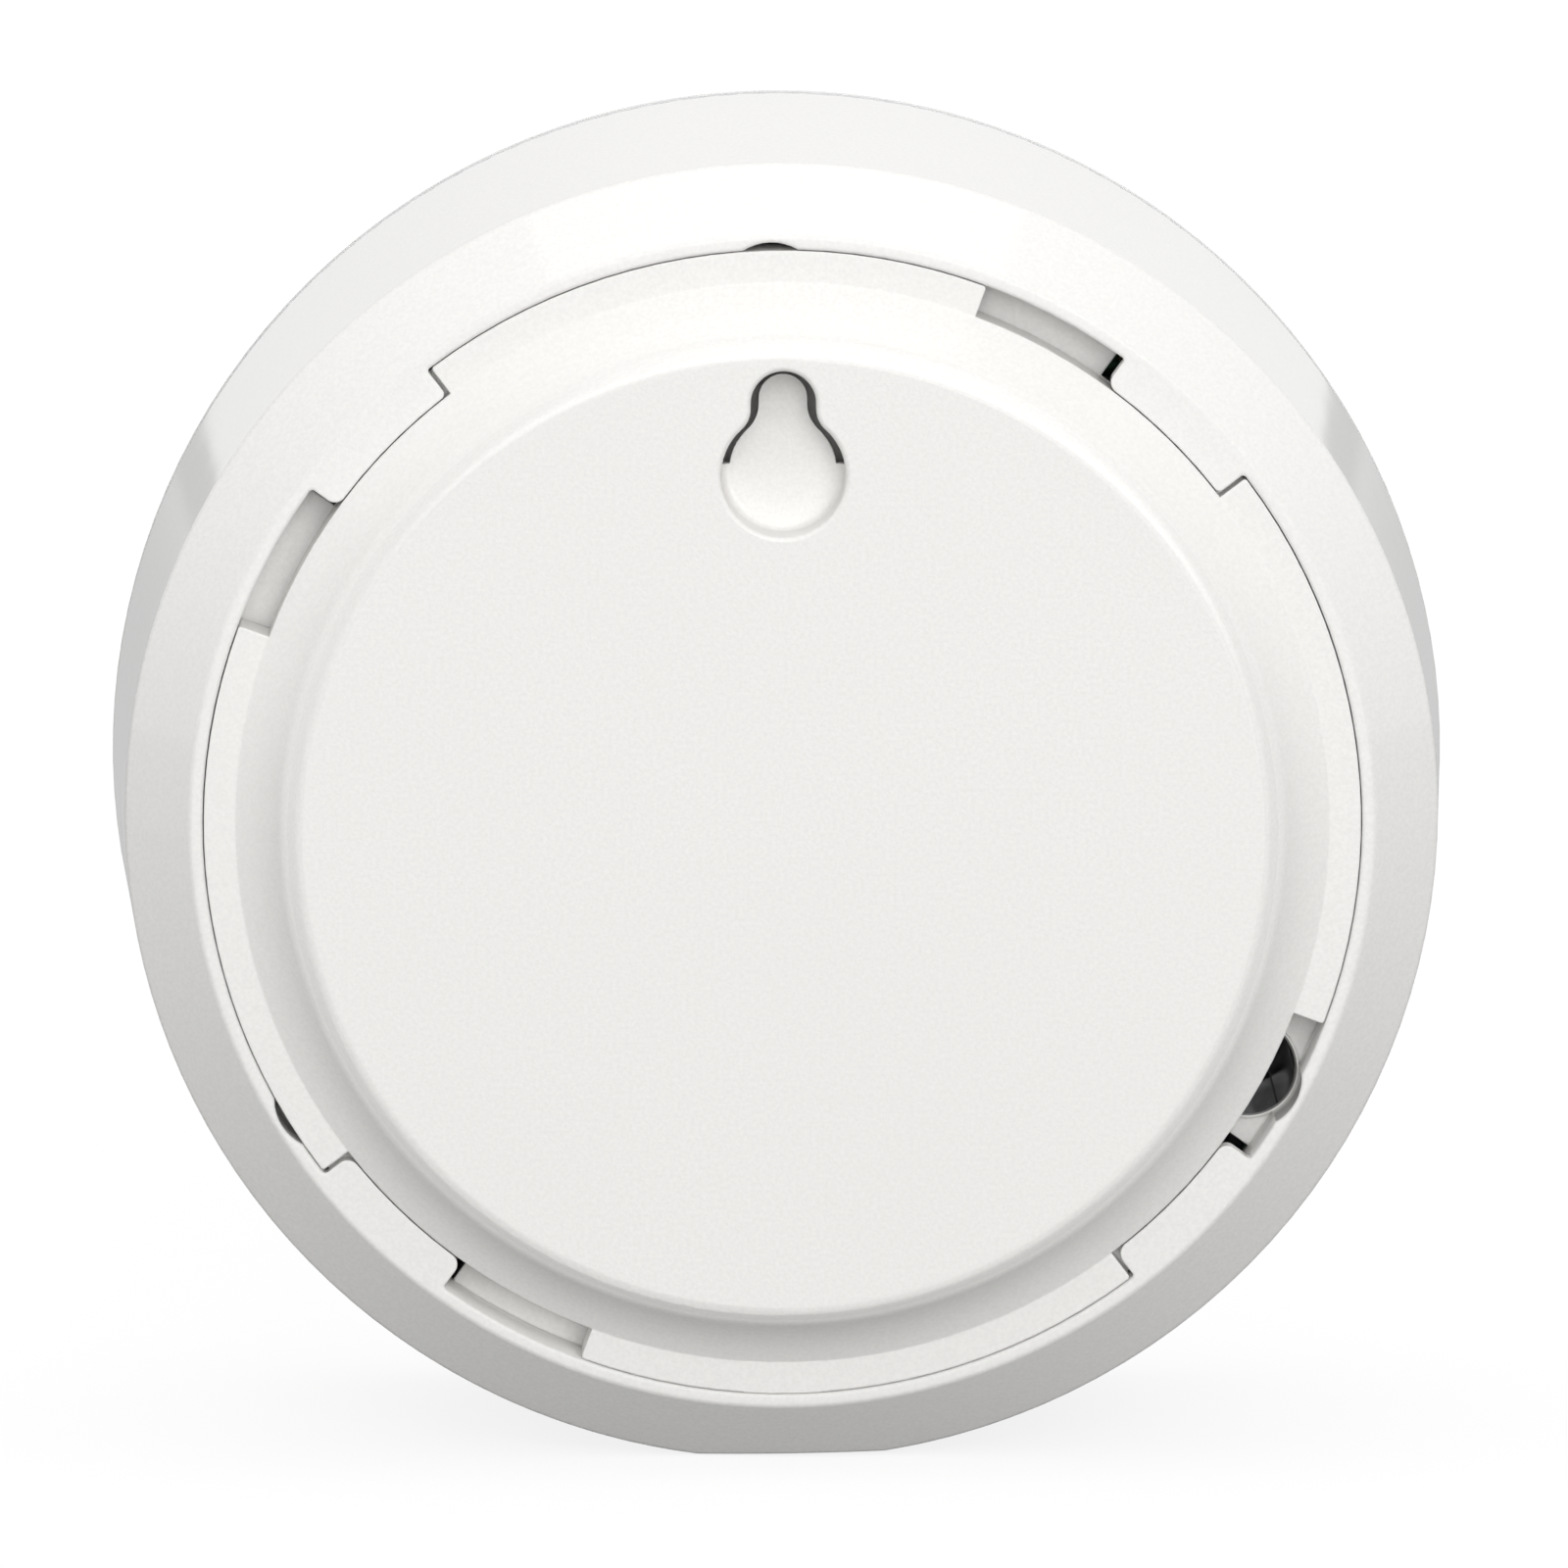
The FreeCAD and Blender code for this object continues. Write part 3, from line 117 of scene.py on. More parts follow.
# The housing's lip, recess wall, screw wells and slots, and the shade painted into the wells and slots
LIP_INNER_MM = 44.6
LIP_SOFT_MM = 0.5
LIP_EDGE_LEAN = 0.8
RECESS_WALL_MM = 44.64
WALL_REACH_MM = 0.03
WALL_LEAN = 0.62
WALL_FACING = 0.3
RECESS_FOOT_MM = -10.9
WELLS = 3
FIRST_WELL_SECTOR = 30.0
WELL_SHADE_MM = 3.8
WELL_DARK_MM = -9.0
WELL_MOUTH_SHADE = 0.3
SLOT_INNER_MM = 40.0
SLOT_OUTER_MM = 44.9
SLOT_DARK_MM = -12.0
SLOT_END_MM = -13.5
# Painted shade: the share of the housing's colour left deep in the wells and slots
PAINTED_SHADE_DARKER = 0.2

# Hidden pieces: pairs of colours as they reflect, patterns per millimetre, ranges of patterns' values
MILKY = ((0.88, 0.89, 0.90), (0.82, 0.84, 0.86))
MILKY_DEPTH_MM = 1.5
BROAD_PER_MM = 0.3
BROAD_SPREAD = 0.05
DULL_SPOTS_PER_MM = 0.6
DULL_SPOTS = (0.45, 0.75)
LINES_SMOOTHER = 0.06
LINES_ROUGHER = 0.08
STEEL = ((0.34, 0.34, 0.35), (0.20, 0.20, 0.20))
WORN_SPOTS = (0.4, 0.7)
THREADS_PER_MM = 1.6
THREAD_DEPTH_MM = 0.12
TRACK_AREAS_PER_MM = 0.12
TRACKS_PER_AREA = 6.0
TRACK_EDGES = (0.16, 0.22)
HOLES_PER_MM = (0.45, 0.0, 0.45)
HOLE_SIZE = 0.13
HOLE_RIM_SIZE = 0.24
# Painted shade: the near-black that stands for the inside of each hole
HOLE_SHADE_COLOUR = (0.02, 0.02, 0.02)
HOLE_RIM_COLOUR = (0.72, 0.62, 0.36)
LAYERS_PER_MM = (0.4, 14.0, 0.4)
LAYER_DARKER = 0.6
BOARD_FACING = 0.7
CERAMIC = ((0.62, 0.60, 0.55), (0.80, 0.79, 0.75))
SILVER_SPOTS = (0.42, 0.55)
# Foam: a darker colour painted in the pores as their shade, and the foam's own colour
PORE_SHADE_AND_FOAM = ((0.012, 0.012, 0.014), (0.06, 0.06, 0.065))
PORES_PER_MM = 2.6
PORES = (0.1, 0.6)
LEAD_TURN = 45.0
BLACK_LEAD = ((0.02, 0.02, 0.02), (0.05, 0.05, 0.05))
RED_LEAD = ((0.45, 0.03, 0.03), (0.35, 0.02, 0.02))
# Mesh cloth: near-black painted in the gaps between threads as shade, and the threads' own colour
MESH_GAP_SHADE_AND_THREADS = ((0.004, 0.004, 0.004), (0.05, 0.05, 0.052))
MESH_THREADS_PER_MM = 3.0
MESH_THREADS = (0.4, 1.0)
CELL_FILM = ((0.10, 0.14, 0.30), (0.08, 0.11, 0.24))
CELL_END = (0.66, 0.65, 0.62)
BARE_END_MM = 1.3
LED_LENS = (0.80, 0.80, 0.78)
LED_PHOSPHOR = ((0.86, 0.72, 0.20), (0.80, 0.62, 0.14))
LED_FRONT = (-1.0, -0.9)
# Copper wire: a shaded colour for the grooves between turns and a lit colour for their crowns, painted shade
# and light
COPPER_GROOVE_SHADE_AND_CROWN = ((0.22, 0.07, 0.02), (0.72, 0.30, 0.12))
WINDING_PER_MM = 2.2
WINDING_DEPTH_MM = 0.12
CAN_FILM = ((0.04, 0.04, 0.06), (0.07, 0.07, 0.10))
CAN_END = (0.72, 0.72, 0.73)
CAN_FACING = 0.8

# A wave texture with scale 1 makes this many bands in each metre
WAVE_TURNS = 20.0 / (2 * math.pi)


# Camera
def make_camera():
    elevation = math.radians(VIEW_ELEVATION)
    turn = math.radians(VIEW_TURN)
    ahead = Vector((math.sin(turn) * math.cos(elevation), -math.cos(turn) * math.cos(elevation),
                    -math.sin(elevation)))
    right = ahead.cross(Vector((0, 0, 1))).normalized()
    up = right.cross(ahead)
    metres_per_pixel = VIEW_WIDTH / PHOTO_PIXELS
    across = (PHOTO_PIXELS / 2 - LIP_CENTRE_PIXEL[0]) * metres_per_pixel
    along = (LIP_CENTRE_PIXEL[1] - PHOTO_PIXELS / 2) * metres_per_pixel
    target = Vector((0, LIP_HEIGHT, 0)) + right * across + up * along
    data = bpy.data.cameras.new("photo_camera")
    data.sensor_width = SENSOR_WIDTH
    data.lens = SENSOR_WIDTH * VIEW_DISTANCE / VIEW_WIDTH
    data.clip_start = NEAREST_SEEN
    data.clip_end = FARTHEST_SEEN
    camera = bpy.data.objects.new("photo_camera", data)
    bpy.context.scene.collection.objects.link(camera)
    turned = Matrix((right, up, -ahead)).transposed().to_4x4()
    camera.matrix_world = Matrix.Translation(target - ahead * VIEW_DISTANCE) @ turned
    bpy.context.scene.camera = camera


# Light: soft boxes aimed at the object, which stands at the origin
def make_lamp(name, place, size, power, mirrored):
    data = bpy.data.lights.new(name, "AREA")
    data.shape = "RECTANGLE"
    data.size, data.size_y = size
    data.energy = power
    lamp = bpy.data.objects.new(name, data)
    bpy.context.scene.collection.objects.link(lamp)
    lamp.location = place
    towards_object = Vector() - Vector(place)
    lamp.rotation_euler = towards_object.to_track_quat("-Z", "Y").to_euler()
    lamp.visible_glossy = mirrored


def background(tree, strength):
    node = tree.nodes.new("ShaderNodeBackground")
    node.inputs["Color"].default_value = (1, 1, 1, 1)
    node.inputs["Strength"].default_value = strength
    return node.outputs[0]


# The surroundings look white to the camera, in gloss and through glass, and light the object less
def studio_world():
    world = bpy.data.worlds.new("studio")
    world.use_nodes = True
    bpy.context.scene.world = world
    tree = world.node_tree
    tree.nodes.clear()
    out = tree.nodes.new("ShaderNodeOutputWorld")
    path = tree.nodes.new("ShaderNodeLightPath")
    shown = path.outputs["Is Camera Ray"]
    for ray in ("Is Glossy Ray", "Is Transmission Ray"):
        shown = maths(tree, "MAXIMUM", shown, path.outputs[ray])
    mix = tree.nodes.new("ShaderNodeMixShader")
    tree.links.new(shown, mix.inputs["Fac"])
    tree.links.new(background(tree, SURROUND_LIGHT), mix.inputs[1])
    tree.links.new(background(tree, SEEN_WHITE), mix.inputs[2])
    tree.links.new(mix.outputs[0], out.inputs["Surface"])


# Helpers for node trees: coordinates are in metres in the object's own frame
def new_material(name):
    material = bpy.data.materials.new(name)
    material.use_nodes = True
    return material, material.node_tree, material.node_tree.nodes["Principled BSDF"]


def put(tree, socket, value):
    if isinstance(value, bpy.types.NodeSocket):
        tree.links.new(value, socket)
    elif socket.type == "RGBA":
        socket.default_value = (*value, 1.0)
    else:
        socket.default_value = value


def coordinate(tree, kind):
    return tree.nodes.new("ShaderNodeTexCoord").outputs[kind]


def axis(tree, kind, letter):
    node = tree.nodes.new("ShaderNodeSeparateXYZ")
    tree.links.new(coordinate(tree, kind), node.inputs[0])
    return node.outputs[letter]


def maths(tree, operation, first, second=0.0):
    node = tree.nodes.new("ShaderNodeMath")
    node.operation = operation
    put(tree, node.inputs[0], first)
    put(tree, node.inputs[1], second)
    return node.outputs[0]


def product(tree, *factors):
    result = factors[0]
    for factor in factors[1:]:
        result = maths(tree, "MULTIPLY", result, factor)
    return result


def vector_maths(tree, operation, first, second=None, output="Vector"):
    node = tree.nodes.new("ShaderNodeVectorMath")
    node.operation = operation
    put(tree, node.inputs[0], first)
    if second is not None:
        put(tree, node.inputs[1], second)
    return node.outputs[output]


def between(tree, value, low, high, to_low=0.0, to_high=1.0):
    node = tree.nodes.new("ShaderNodeMapRange")
    node.inputs["From Min"].default_value = low
    node.inputs["From Max"].default_value = high
    node.inputs["To Min"].default_value = to_low
    node.inputs["To Max"].default_value = to_high
    tree.links.new(value, node.inputs["Value"])
    return node.outputs[0]


def spread(tree, share, at_none, at_full):
    return between(tree, share, 0.0, 1.0, at_none, at_full)


def mixed(tree, factor, first, second, kind="RGBA"):
    node = tree.nodes.new("ShaderNodeMix")
    node.data_type = kind
    put(tree, node.inputs["Factor"], factor)
    put(tree, node.inputs["A"], first)
    put(tree, node.inputs["B"], second)
    return node.outputs["Result"]


def pattern_place(tree, per_mm):
    scales = per_mm if isinstance(per_mm, tuple) else (per_mm, per_mm, per_mm)
    return vector_maths(tree, "MULTIPLY", coordinate(tree, "Object"), tuple(scale / MM for scale in scales))


def noise(tree, per_mm, detail=2.0):
    node = tree.nodes.new("ShaderNodeTexNoise")
    node.inputs["Scale"].default_value = 1.0
    node.inputs["Detail"].default_value = detail
    tree.links.new(pattern_place(tree, per_mm), node.inputs["Vector"])
    return node.outputs["Fac"]


# Soft changes between two values, and patches that are either 0 or 1 with soft borders
def varied(tree, per_mm, low=0.0, high=1.0, detail=2.0):
    return between(tree, noise(tree, per_mm, detail), *USUAL, low, high)


def patchy(tree, per_mm, detail=2.0):
    return between(tree, noise(tree, per_mm, detail), *CRISP)


def cells(tree, per_mm, output="Distance"):
    node = tree.nodes.new("ShaderNodeTexVoronoi")
    node.inputs["Scale"].default_value = 1.0
    tree.links.new(pattern_place(tree, per_mm), node.inputs["Vector"])
    return node.outputs[output]


def bands(tree, direction, per_mm):
    node = tree.nodes.new("ShaderNodeTexWave")
    node.bands_direction = direction
    node.inputs["Scale"].default_value = per_mm / MM / WAVE_TURNS
    tree.links.new(coordinate(tree, "Object"), node.inputs["Vector"])
    return node.outputs["Fac"]


def darker(colour, share):
    return tuple(value * share for value in colour)


def across_axis(tree, kind="Object"):
    return vector_maths(tree, "MULTIPLY", coordinate(tree, kind), (1, 0, 1))


def ring_distance(tree):
    return vector_maths(tree, "LENGTH", across_axis(tree), output="Value")


def outward(tree):
    return vector_maths(tree, "NORMALIZE", across_axis(tree))


def facing_wall(tree):
    return maths(tree, "ABSOLUTE", axis(tree, "Normal", "Y"))


def rounded_edges(tree, radius_mm=SOFT_EDGE_MM):
    bevel = tree.nodes.new("ShaderNodeBevel")
    bevel.samples = BEVEL_SAMPLES
    bevel.inputs["Radius"].default_value = radius_mm * MM
    return bevel.outputs["Normal"]


def relief(tree, shader, height, depth_mm, normal=None):
    bump = tree.nodes.new("ShaderNodeBump")
    bump.inputs["Distance"].default_value = depth_mm * MM
    tree.links.new(height, bump.inputs["Height"])
    if normal is not None:
        tree.links.new(normal, bump.inputs["Normal"])
    tree.links.new(bump.outputs["Normal"], shader.inputs["Normal"])


# A normal that leans in a direction and rises towards the wall, used where the share is 1
def leaning_normal(tree, direction, lean, rise, share, normal):
    leaning = tree.nodes.new("ShaderNodeVectorMath")
    leaning.operation = "SCALE"
    put(tree, leaning.inputs[0], direction)
    tree.links.new(lean, leaning.inputs["Scale"])
    rising = tree.nodes.new("ShaderNodeCombineXYZ")
    tree.links.new(rise, rising.inputs["Y"])
    turned = tree.nodes.new("ShaderNodeVectorTransform")
    turned.vector_type = "NORMAL"
    turned.convert_from = "OBJECT"
    turned.convert_to = "WORLD"
    tree.links.new(vector_maths(tree, "ADD", leaning.outputs[0], rising.outputs[0]), turned.inputs[0])
    return mixed(tree, share, normal, turned.outputs[0], "VECTOR")


# The other leg of a right triangle whose longest side is 1
def other_leg(tree, leg):
    return maths(tree, "SQRT", maths(tree, "SUBTRACT", 1.0, maths(tree, "MULTIPLY", leg, leg)))


def past_shoulder(tree):
    return maths(tree, "SUBTRACT", ring_distance(tree), SHOULDER_START_MM * MM)


# The plate's raised middle turns down over a wide round edge
def soft_shoulder(tree, normal):
    past = past_shoulder(tree)
    ease = between(tree, past, 0.0, SHOULDER_EASE_MM * MM)
    wide = between(tree, past, SHOULDER_KNEE_MM * MM, SHOULDER_END_MM * MM, SHOULDER_KNEE_LEAN,
                   SHOULDER_LAST_LEAN)
    wanted = maths(tree, "MINIMUM", maths(tree, "MULTIPLY", ease, ease), wide)
    own_lean = vector_maths(tree, "LENGTH", across_axis(tree, "Normal"), output="Value")
    lean = maths(tree, "MINIMUM", wanted, own_lean)
    share = product(tree, maths(tree, "GREATER_THAN", past, 0.0),
                    between(tree, past, SHOULDER_FADE_MM * MM, SHOULDER_END_MM * MM, 1.0, 0.0),
                    maths(tree, "GREATER_THAN", axis(tree, "Normal", "Y"), OUTSIDE_FACING))
    return leaning_normal(tree, outward(tree), lean, other_leg(tree, lean), share, normal)


# Handling has rubbed that edge smoother
def shoulder_rub(tree):
    past = past_shoulder(tree)
    return product(tree, between(tree, past, 0.0, RUBBED_FROM_MM * MM),
                   between(tree, past, RUBBED_UNTIL_MM * MM, RUBBED_END_MM * MM, 1.0, 0.0))


# The tongue behind the keyhole is dished at its upper end
def dished_tongue(tree, normal):
    height = axis(tree, "Object", "Z")
    sideways = maths(tree, "ABSOLUTE", axis(tree, "Object", "X"))
    lean = between(tree, height, DISH_START_MM * MM, DISH_END_MM * MM, 0.0, DISH_LEAN)
    share = product(tree, maths(tree, "LESS_THAN", height, DISH_END_MM * MM),
                    maths(tree, "LESS_THAN", axis(tree, "Object", "Y"), DISH_BEHIND_MM * MM),
                    maths(tree, "LESS_THAN", sideways, DISH_HALF_MM * MM),
                    maths(tree, "GREATER_THAN", axis(tree, "Normal", "Y"), DISH_FACING))
    return leaning_normal(tree, (0, 0, -1), lean, other_leg(tree, lean), share, normal)


def plate_normals(tree):
    return dished_tongue(tree, soft_shoulder(tree, rounded_edges(tree)))


# The recess's outer wall opens towards its lip, whose inner edge is rounder than the others
def housing_normals(tree):
    edges = rounded_edges(tree)
    by_the_lip = between(tree, ring_distance(tree), (LIP_INNER_MM - LIP_SOFT_MM) * MM, LIP_INNER_MM * MM,
                         SOFT_EDGE_MM * MM, LIP_SOFT_MM * MM)
    put(tree, edges.node.inputs["Radius"], by_the_lip)
    height = axis(tree, "Object", "Y")
    draft = between(tree, height, RECESS_FOOT_MM * MM, LIP_HEIGHT, 0.0, WALL_LEAN)
    lip_edge = between(tree, height, LIP_HEIGHT - LIP_SOFT_MM * MM, LIP_HEIGHT, 0.0, LIP_EDGE_LEAN)
    rise = maths(tree, "MAXIMUM", draft, lip_edge)
    off_wall = maths(tree, "ABSOLUTE", maths(tree, "SUBTRACT", ring_distance(tree), RECESS_WALL_MM * MM))
    on_wall = product(tree, maths(tree, "LESS_THAN", off_wall, WALL_REACH_MM * MM),
                      maths(tree, "LESS_THAN", facing_wall(tree), WALL_FACING))
    inward = vector_maths(tree, "MULTIPLY", outward(tree), (-1, -1, -1))
    return leaning_normal(tree, inward, other_leg(tree, rise), rise, on_wall, edges)


# Each sector of the housing holds one well, with a screw in it
def well_centres():
    sector = 360.0 / WELLS
    groups = [[] for _ in range(WELLS)]
    for vertex in NODES["housing_screws"].data.vertices:
        turn = math.degrees(math.atan2(vertex.co.z, -vertex.co.x)) - FIRST_WELL_SECTOR
        groups[int(turn % 360.0 // sector)].append(Vector((vertex.co.x, 0, vertex.co.z)))
    return [tuple(sum(group, Vector()) / len(group)) for group in groups]


# Painted shade: the housing's colour is darkened in the screw wells and in the slots under the tabs, more so
# further down
def painted_deep_shade(tree):
    flattened = across_axis(tree)
    nearest = SLOT_OUTER_MM * MM
    for centre in well_centres():
        nearest = maths(tree, "MINIMUM", vector_maths(tree, "DISTANCE", flattened, centre, "Value"), nearest)
    ring = ring_distance(tree)
    height = axis(tree, "Object", "Y")
    well = product(tree, maths(tree, "LESS_THAN", nearest, WELL_SHADE_MM * MM),
                   between(tree, height, LIP_HEIGHT, WELL_DARK_MM * MM, WELL_MOUTH_SHADE, 1.0))
    slot = product(tree, maths(tree, "GREATER_THAN", ring, SLOT_INNER_MM * MM),
                   maths(tree, "LESS_THAN", ring, SLOT_OUTER_MM * MM),
                   maths(tree, "GREATER_THAN", height, SLOT_END_MM * MM),
                   between(tree, height, RECESS_FOOT_MM * MM, SLOT_DARK_MM * MM))
    return maths(tree, "MAXIMUM", well, slot)


def dust_specks(tree):
    number = tree.nodes.new("ShaderNodeSeparateColor")
    tree.links.new(cells(tree, SPECK_PER_MM, "Color"), number.inputs[0])
    return product(tree, maths(tree, "LESS_THAN", cells(tree, SPECK_PER_MM), SPECK_RADIUS_MM * SPECK_PER_MM),
                   maths(tree, "LESS_THAN", number.outputs[0], SPECK_SHARE))


# White mouldings: grained flats, smoother slopes, faint clouds, a few dust specks, and painted shade where a
# shade mask is given
def white_moulding(name, colour, flat_roughness, slope_roughness, normals=rounded_edges, rub=None,
                   shade=None):
    material, tree, shader = new_material(name)
    flat = between(tree, facing_wall(tree), SLOPE_FACING, FLAT_FACING)
    patches = varied(tree, GLOSS_PATCHES_PER_MM, -GLOSS_SPREAD, GLOSS_SPREAD, detail=3.0)
    roughness = maths(tree, "ADD", spread(tree, flat, slope_roughness, flat_roughness), patches)
    if rub:
        roughness = maths(tree, "MULTIPLY", roughness, spread(tree, rub(tree), 1.0, RUBBED_ROUGHNESS))
    put(tree, shader.inputs["Roughness"], roughness)
    base = mixed(tree, varied(tree, CLOUDS_PER_MM), colour, darker(colour, CLOUD_DARKER))
    base = mixed(tree, varied(tree, MOTTLE_PER_MM, detail=1.0), base, darker(colour, MOTTLE_DARKER))
    # Painted shade: the colour darkens where the shade mask is 1
    if shade:
        base = mixed(tree, shade(tree), base, darker(colour, PAINTED_SHADE_DARKER))
    put(tree, shader.inputs["Base Color"], mixed(tree, dust_specks(tree), base, SPECK_COLOUR))
    grain = maths(tree, "MULTIPLY", noise(tree, GRAIN_PER_MM), spread(tree, flat, SLOPE_GRAIN, 1.0))
    relief(tree, shader, grain, GRAIN_DEPTH_MM, normals(tree))
    shader.inputs["IOR"].default_value = PLASTIC_IOR
    return material


# The plate's turned normals lie far from the mesh's own, which the correction for bumps would darken
def plate_plastic(name):
    material = white_moulding(name, PLATE_COLOUR, flat_roughness=0.42, slope_roughness=0.30,
                              normals=plate_normals, rub=shoulder_rub)
    material.cycles.use_bump_map_correction = False
    return material


# The housing's moulding carries painted shade in its wells and slots
def housing_plastic(name):
    return white_moulding(name, HOUSING_COLOUR, flat_roughness=0.38, slope_roughness=0.06,
                          normals=housing_normals, shade=painted_deep_shade)


def cover_plastic(name):
    return white_moulding(name, HOUSING_COLOUR, flat_roughness=0.30, slope_roughness=0.12)


def milky_guide(name):
    material, tree, shader = new_material(name)
    put(tree, shader.inputs["Base Color"], mixed(tree, varied(tree, per_mm=0.25), *MILKY))
    put(tree, shader.inputs["Roughness"], varied(tree, per_mm=3.0, low=0.28, high=0.36))
    shader.inputs["Transmission Weight"].default_value = 0.25
    shader.inputs["Subsurface Weight"].default_value = 0.4
    shader.inputs["Subsurface Radius"].default_value = (1.0, 1.0, 1.0)
    shader.inputs["Subsurface Scale"].default_value = MILKY_DEPTH_MM * MM
    relief(tree, shader, noise(tree, per_mm=4.0), depth_mm=0.01)
    return material


# Coloured plastics with their own grain
def grained(name, colour, other, roughness, per_mm, depth_mm, edge_mm):
    material, tree, shader = new_material(name)
    pattern = noise(tree, per_mm, detail=3.0)
    put(tree, shader.inputs["Base Color"], mixed(tree, between(tree, pattern, *CRISP), colour, other))
    broad = varied(tree, BROAD_PER_MM, -BROAD_SPREAD, BROAD_SPREAD)
    put(tree, shader.inputs["Roughness"], maths(tree, "ADD", broad, roughness))
    relief(tree, shader, pattern, depth_mm, rounded_edges(tree, edge_mm))
    return material


# Metals: fine lines along one axis, spots of duller plating
def lined_metal(name, colour, dull, roughness, lines_per_mm):
    material, tree, shader = new_material(name)
    lines = noise(tree, lines_per_mm, detail=3.0)
    spots = between(tree, noise(tree, DULL_SPOTS_PER_MM, detail=4.0), *DULL_SPOTS)
    put(tree, shader.inputs["Base Color"], mixed(tree, spots, colour, dull))
    shader.inputs["Metallic"].default_value = 1.0
    drawn = between(tree, lines, *USUAL, roughness - LINES_SMOOTHER, roughness + LINES_ROUGHER)
    put(tree, shader.inputs["Roughness"], drawn)
    relief(tree, shader, lines, depth_mm=0.01)
    return material


def turned_steel(name):
    material, tree, shader = new_material(name)
    worn = between(tree, noise(tree, per_mm=2.0, detail=4.0), *WORN_SPOTS)
    put(tree, shader.inputs["Base Color"], mixed(tree, worn, *STEEL))
    shader.inputs["Metallic"].default_value = 1.0
    put(tree, shader.inputs["Roughness"], spread(tree, worn, at_none=0.28, at_full=0.45))
    relief(tree, shader, bands(tree, "Y", THREADS_PER_MM), THREAD_DEPTH_MM)
    return material


# Circuit boards: tracks and holes under the mask, glass fibre at the edge; the holes are painted near-black
# as shade, inside copper rims
def track_lines(tree):
    board_place = tree.nodes.new("ShaderNodeCombineXYZ")
    tree.links.new(axis(tree, "Object", "X"), board_place.inputs["X"])
    tree.links.new(axis(tree, "Object", "Z"), board_place.inputs["Y"])
    areas = tree.nodes.new("ShaderNodeTexVoronoi")
    areas.voronoi_dimensions = "2D"
    areas.distance = "CHEBYCHEV"
    areas.inputs["Scale"].default_value = TRACK_AREAS_PER_MM / MM
    tree.links.new(board_place.outputs[0], areas.inputs["Vector"])
    steps = maths(tree, "FRACT", maths(tree, "MULTIPLY", areas.outputs["Distance"], TRACKS_PER_AREA))
    off_middle = maths(tree, "ABSOLUTE", maths(tree, "SUBTRACT", steps, 0.5))
    return between(tree, off_middle, *TRACK_EDGES, 1.0, 0.0)


def circuit_board(name, mask, track, edge):
    material, tree, shader = new_material(name)
    tracks = track_lines(tree)
    # Painted shade: the holes are near-black discs, not openings in the board
    hole_shade = maths(tree, "LESS_THAN", cells(tree, HOLES_PER_MM), HOLE_SIZE)
    rims = maths(tree, "LESS_THAN", cells(tree, HOLES_PER_MM), HOLE_RIM_SIZE)
    face = mixed(tree, tracks, mask, track)
    face = mixed(tree, rims, face, HOLE_RIM_COLOUR)
    face = mixed(tree, hole_shade, face, HOLE_SHADE_COLOUR)
    layers = mixed(tree, noise(tree, LAYERS_PER_MM), edge, darker(edge, LAYER_DARKER))
    flat = maths(tree, "GREATER_THAN", facing_wall(tree), BOARD_FACING)
    put(tree, shader.inputs["Base Color"], mixed(tree, flat, layers, face))
    put(tree, shader.inputs["Roughness"], varied(tree, per_mm=1.5, low=0.25, high=0.4))
    relief(tree, shader, tracks, depth_mm=0.03)
    return material


def ceramic_disc(name):
    material, tree, shader = new_material(name)
    silver = between(tree, noise(tree, per_mm=1.2, detail=5.0), *SILVER_SPOTS)
    put(tree, shader.inputs["Base Color"], mixed(tree, silver, *CERAMIC))
    put(tree, shader.inputs["Metallic"], spread(tree, silver, at_none=0.2, at_full=0.7))
    put(tree, shader.inputs["Roughness"], varied(tree, per_mm=6.0, low=0.4, high=0.6))
    relief(tree, shader, noise(tree, per_mm=5.0), depth_mm=0.01)
    return material


def porous_foam(name):
    material, tree, shader = new_material(name)
    pores = cells(tree, PORES_PER_MM)
    # Painted shade: the pores are darker towards their middles
    put(tree, shader.inputs["Base Color"], mixed(tree, between(tree, pores, *PORES), *PORE_SHADE_AND_FOAM))
    shader.inputs["Roughness"].default_value = 0.95
    relief(tree, shader, pores, depth_mm=0.2)
    return material


# One lead's sleeve is red, the other's black
def lead_sleeves(name):
    material, tree, shader = new_material(name)
    lowest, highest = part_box("sounder_leads")
    across = Vector((math.sin(math.radians(LEAD_TURN)), 0, math.cos(math.radians(LEAD_TURN))))
    side = vector_maths(tree, "DOT_PRODUCT", coordinate(tree, "Object"), tuple(across), "Value")
    red = maths(tree, "GREATER_THAN", side, ((lowest + highest) * 0.5).dot(across))
    wear = patchy(tree, per_mm=2.0)
    sleeves = mixed(tree, red, mixed(tree, wear, *BLACK_LEAD), mixed(tree, wear, *RED_LEAD))
    put(tree, shader.inputs["Base Color"], sleeves)
    put(tree, shader.inputs["Roughness"], spread(tree, wear, at_none=0.35, at_full=0.5))
    relief(tree, shader, noise(tree, per_mm=5.0), depth_mm=0.02)
    return material


def woven_mesh(name):
    material, tree, shader = new_material(name)
    weave = maths(tree, "MAXIMUM", *[bands(tree, direction, MESH_THREADS_PER_MM) for direction in "XZ"])
    # Painted shade: the gaps between the threads are near-black
    put(tree, shader.inputs["Base Color"], mixed(tree, between(tree, weave, *MESH_THREADS), *MESH_GAP_SHADE_AND_THREADS))
    shader.inputs["Roughness"].default_value = 0.8
    shader.inputs["Sheen Weight"].default_value = 0.2
    relief(tree, shader, weave, depth_mm=0.15)
    return material


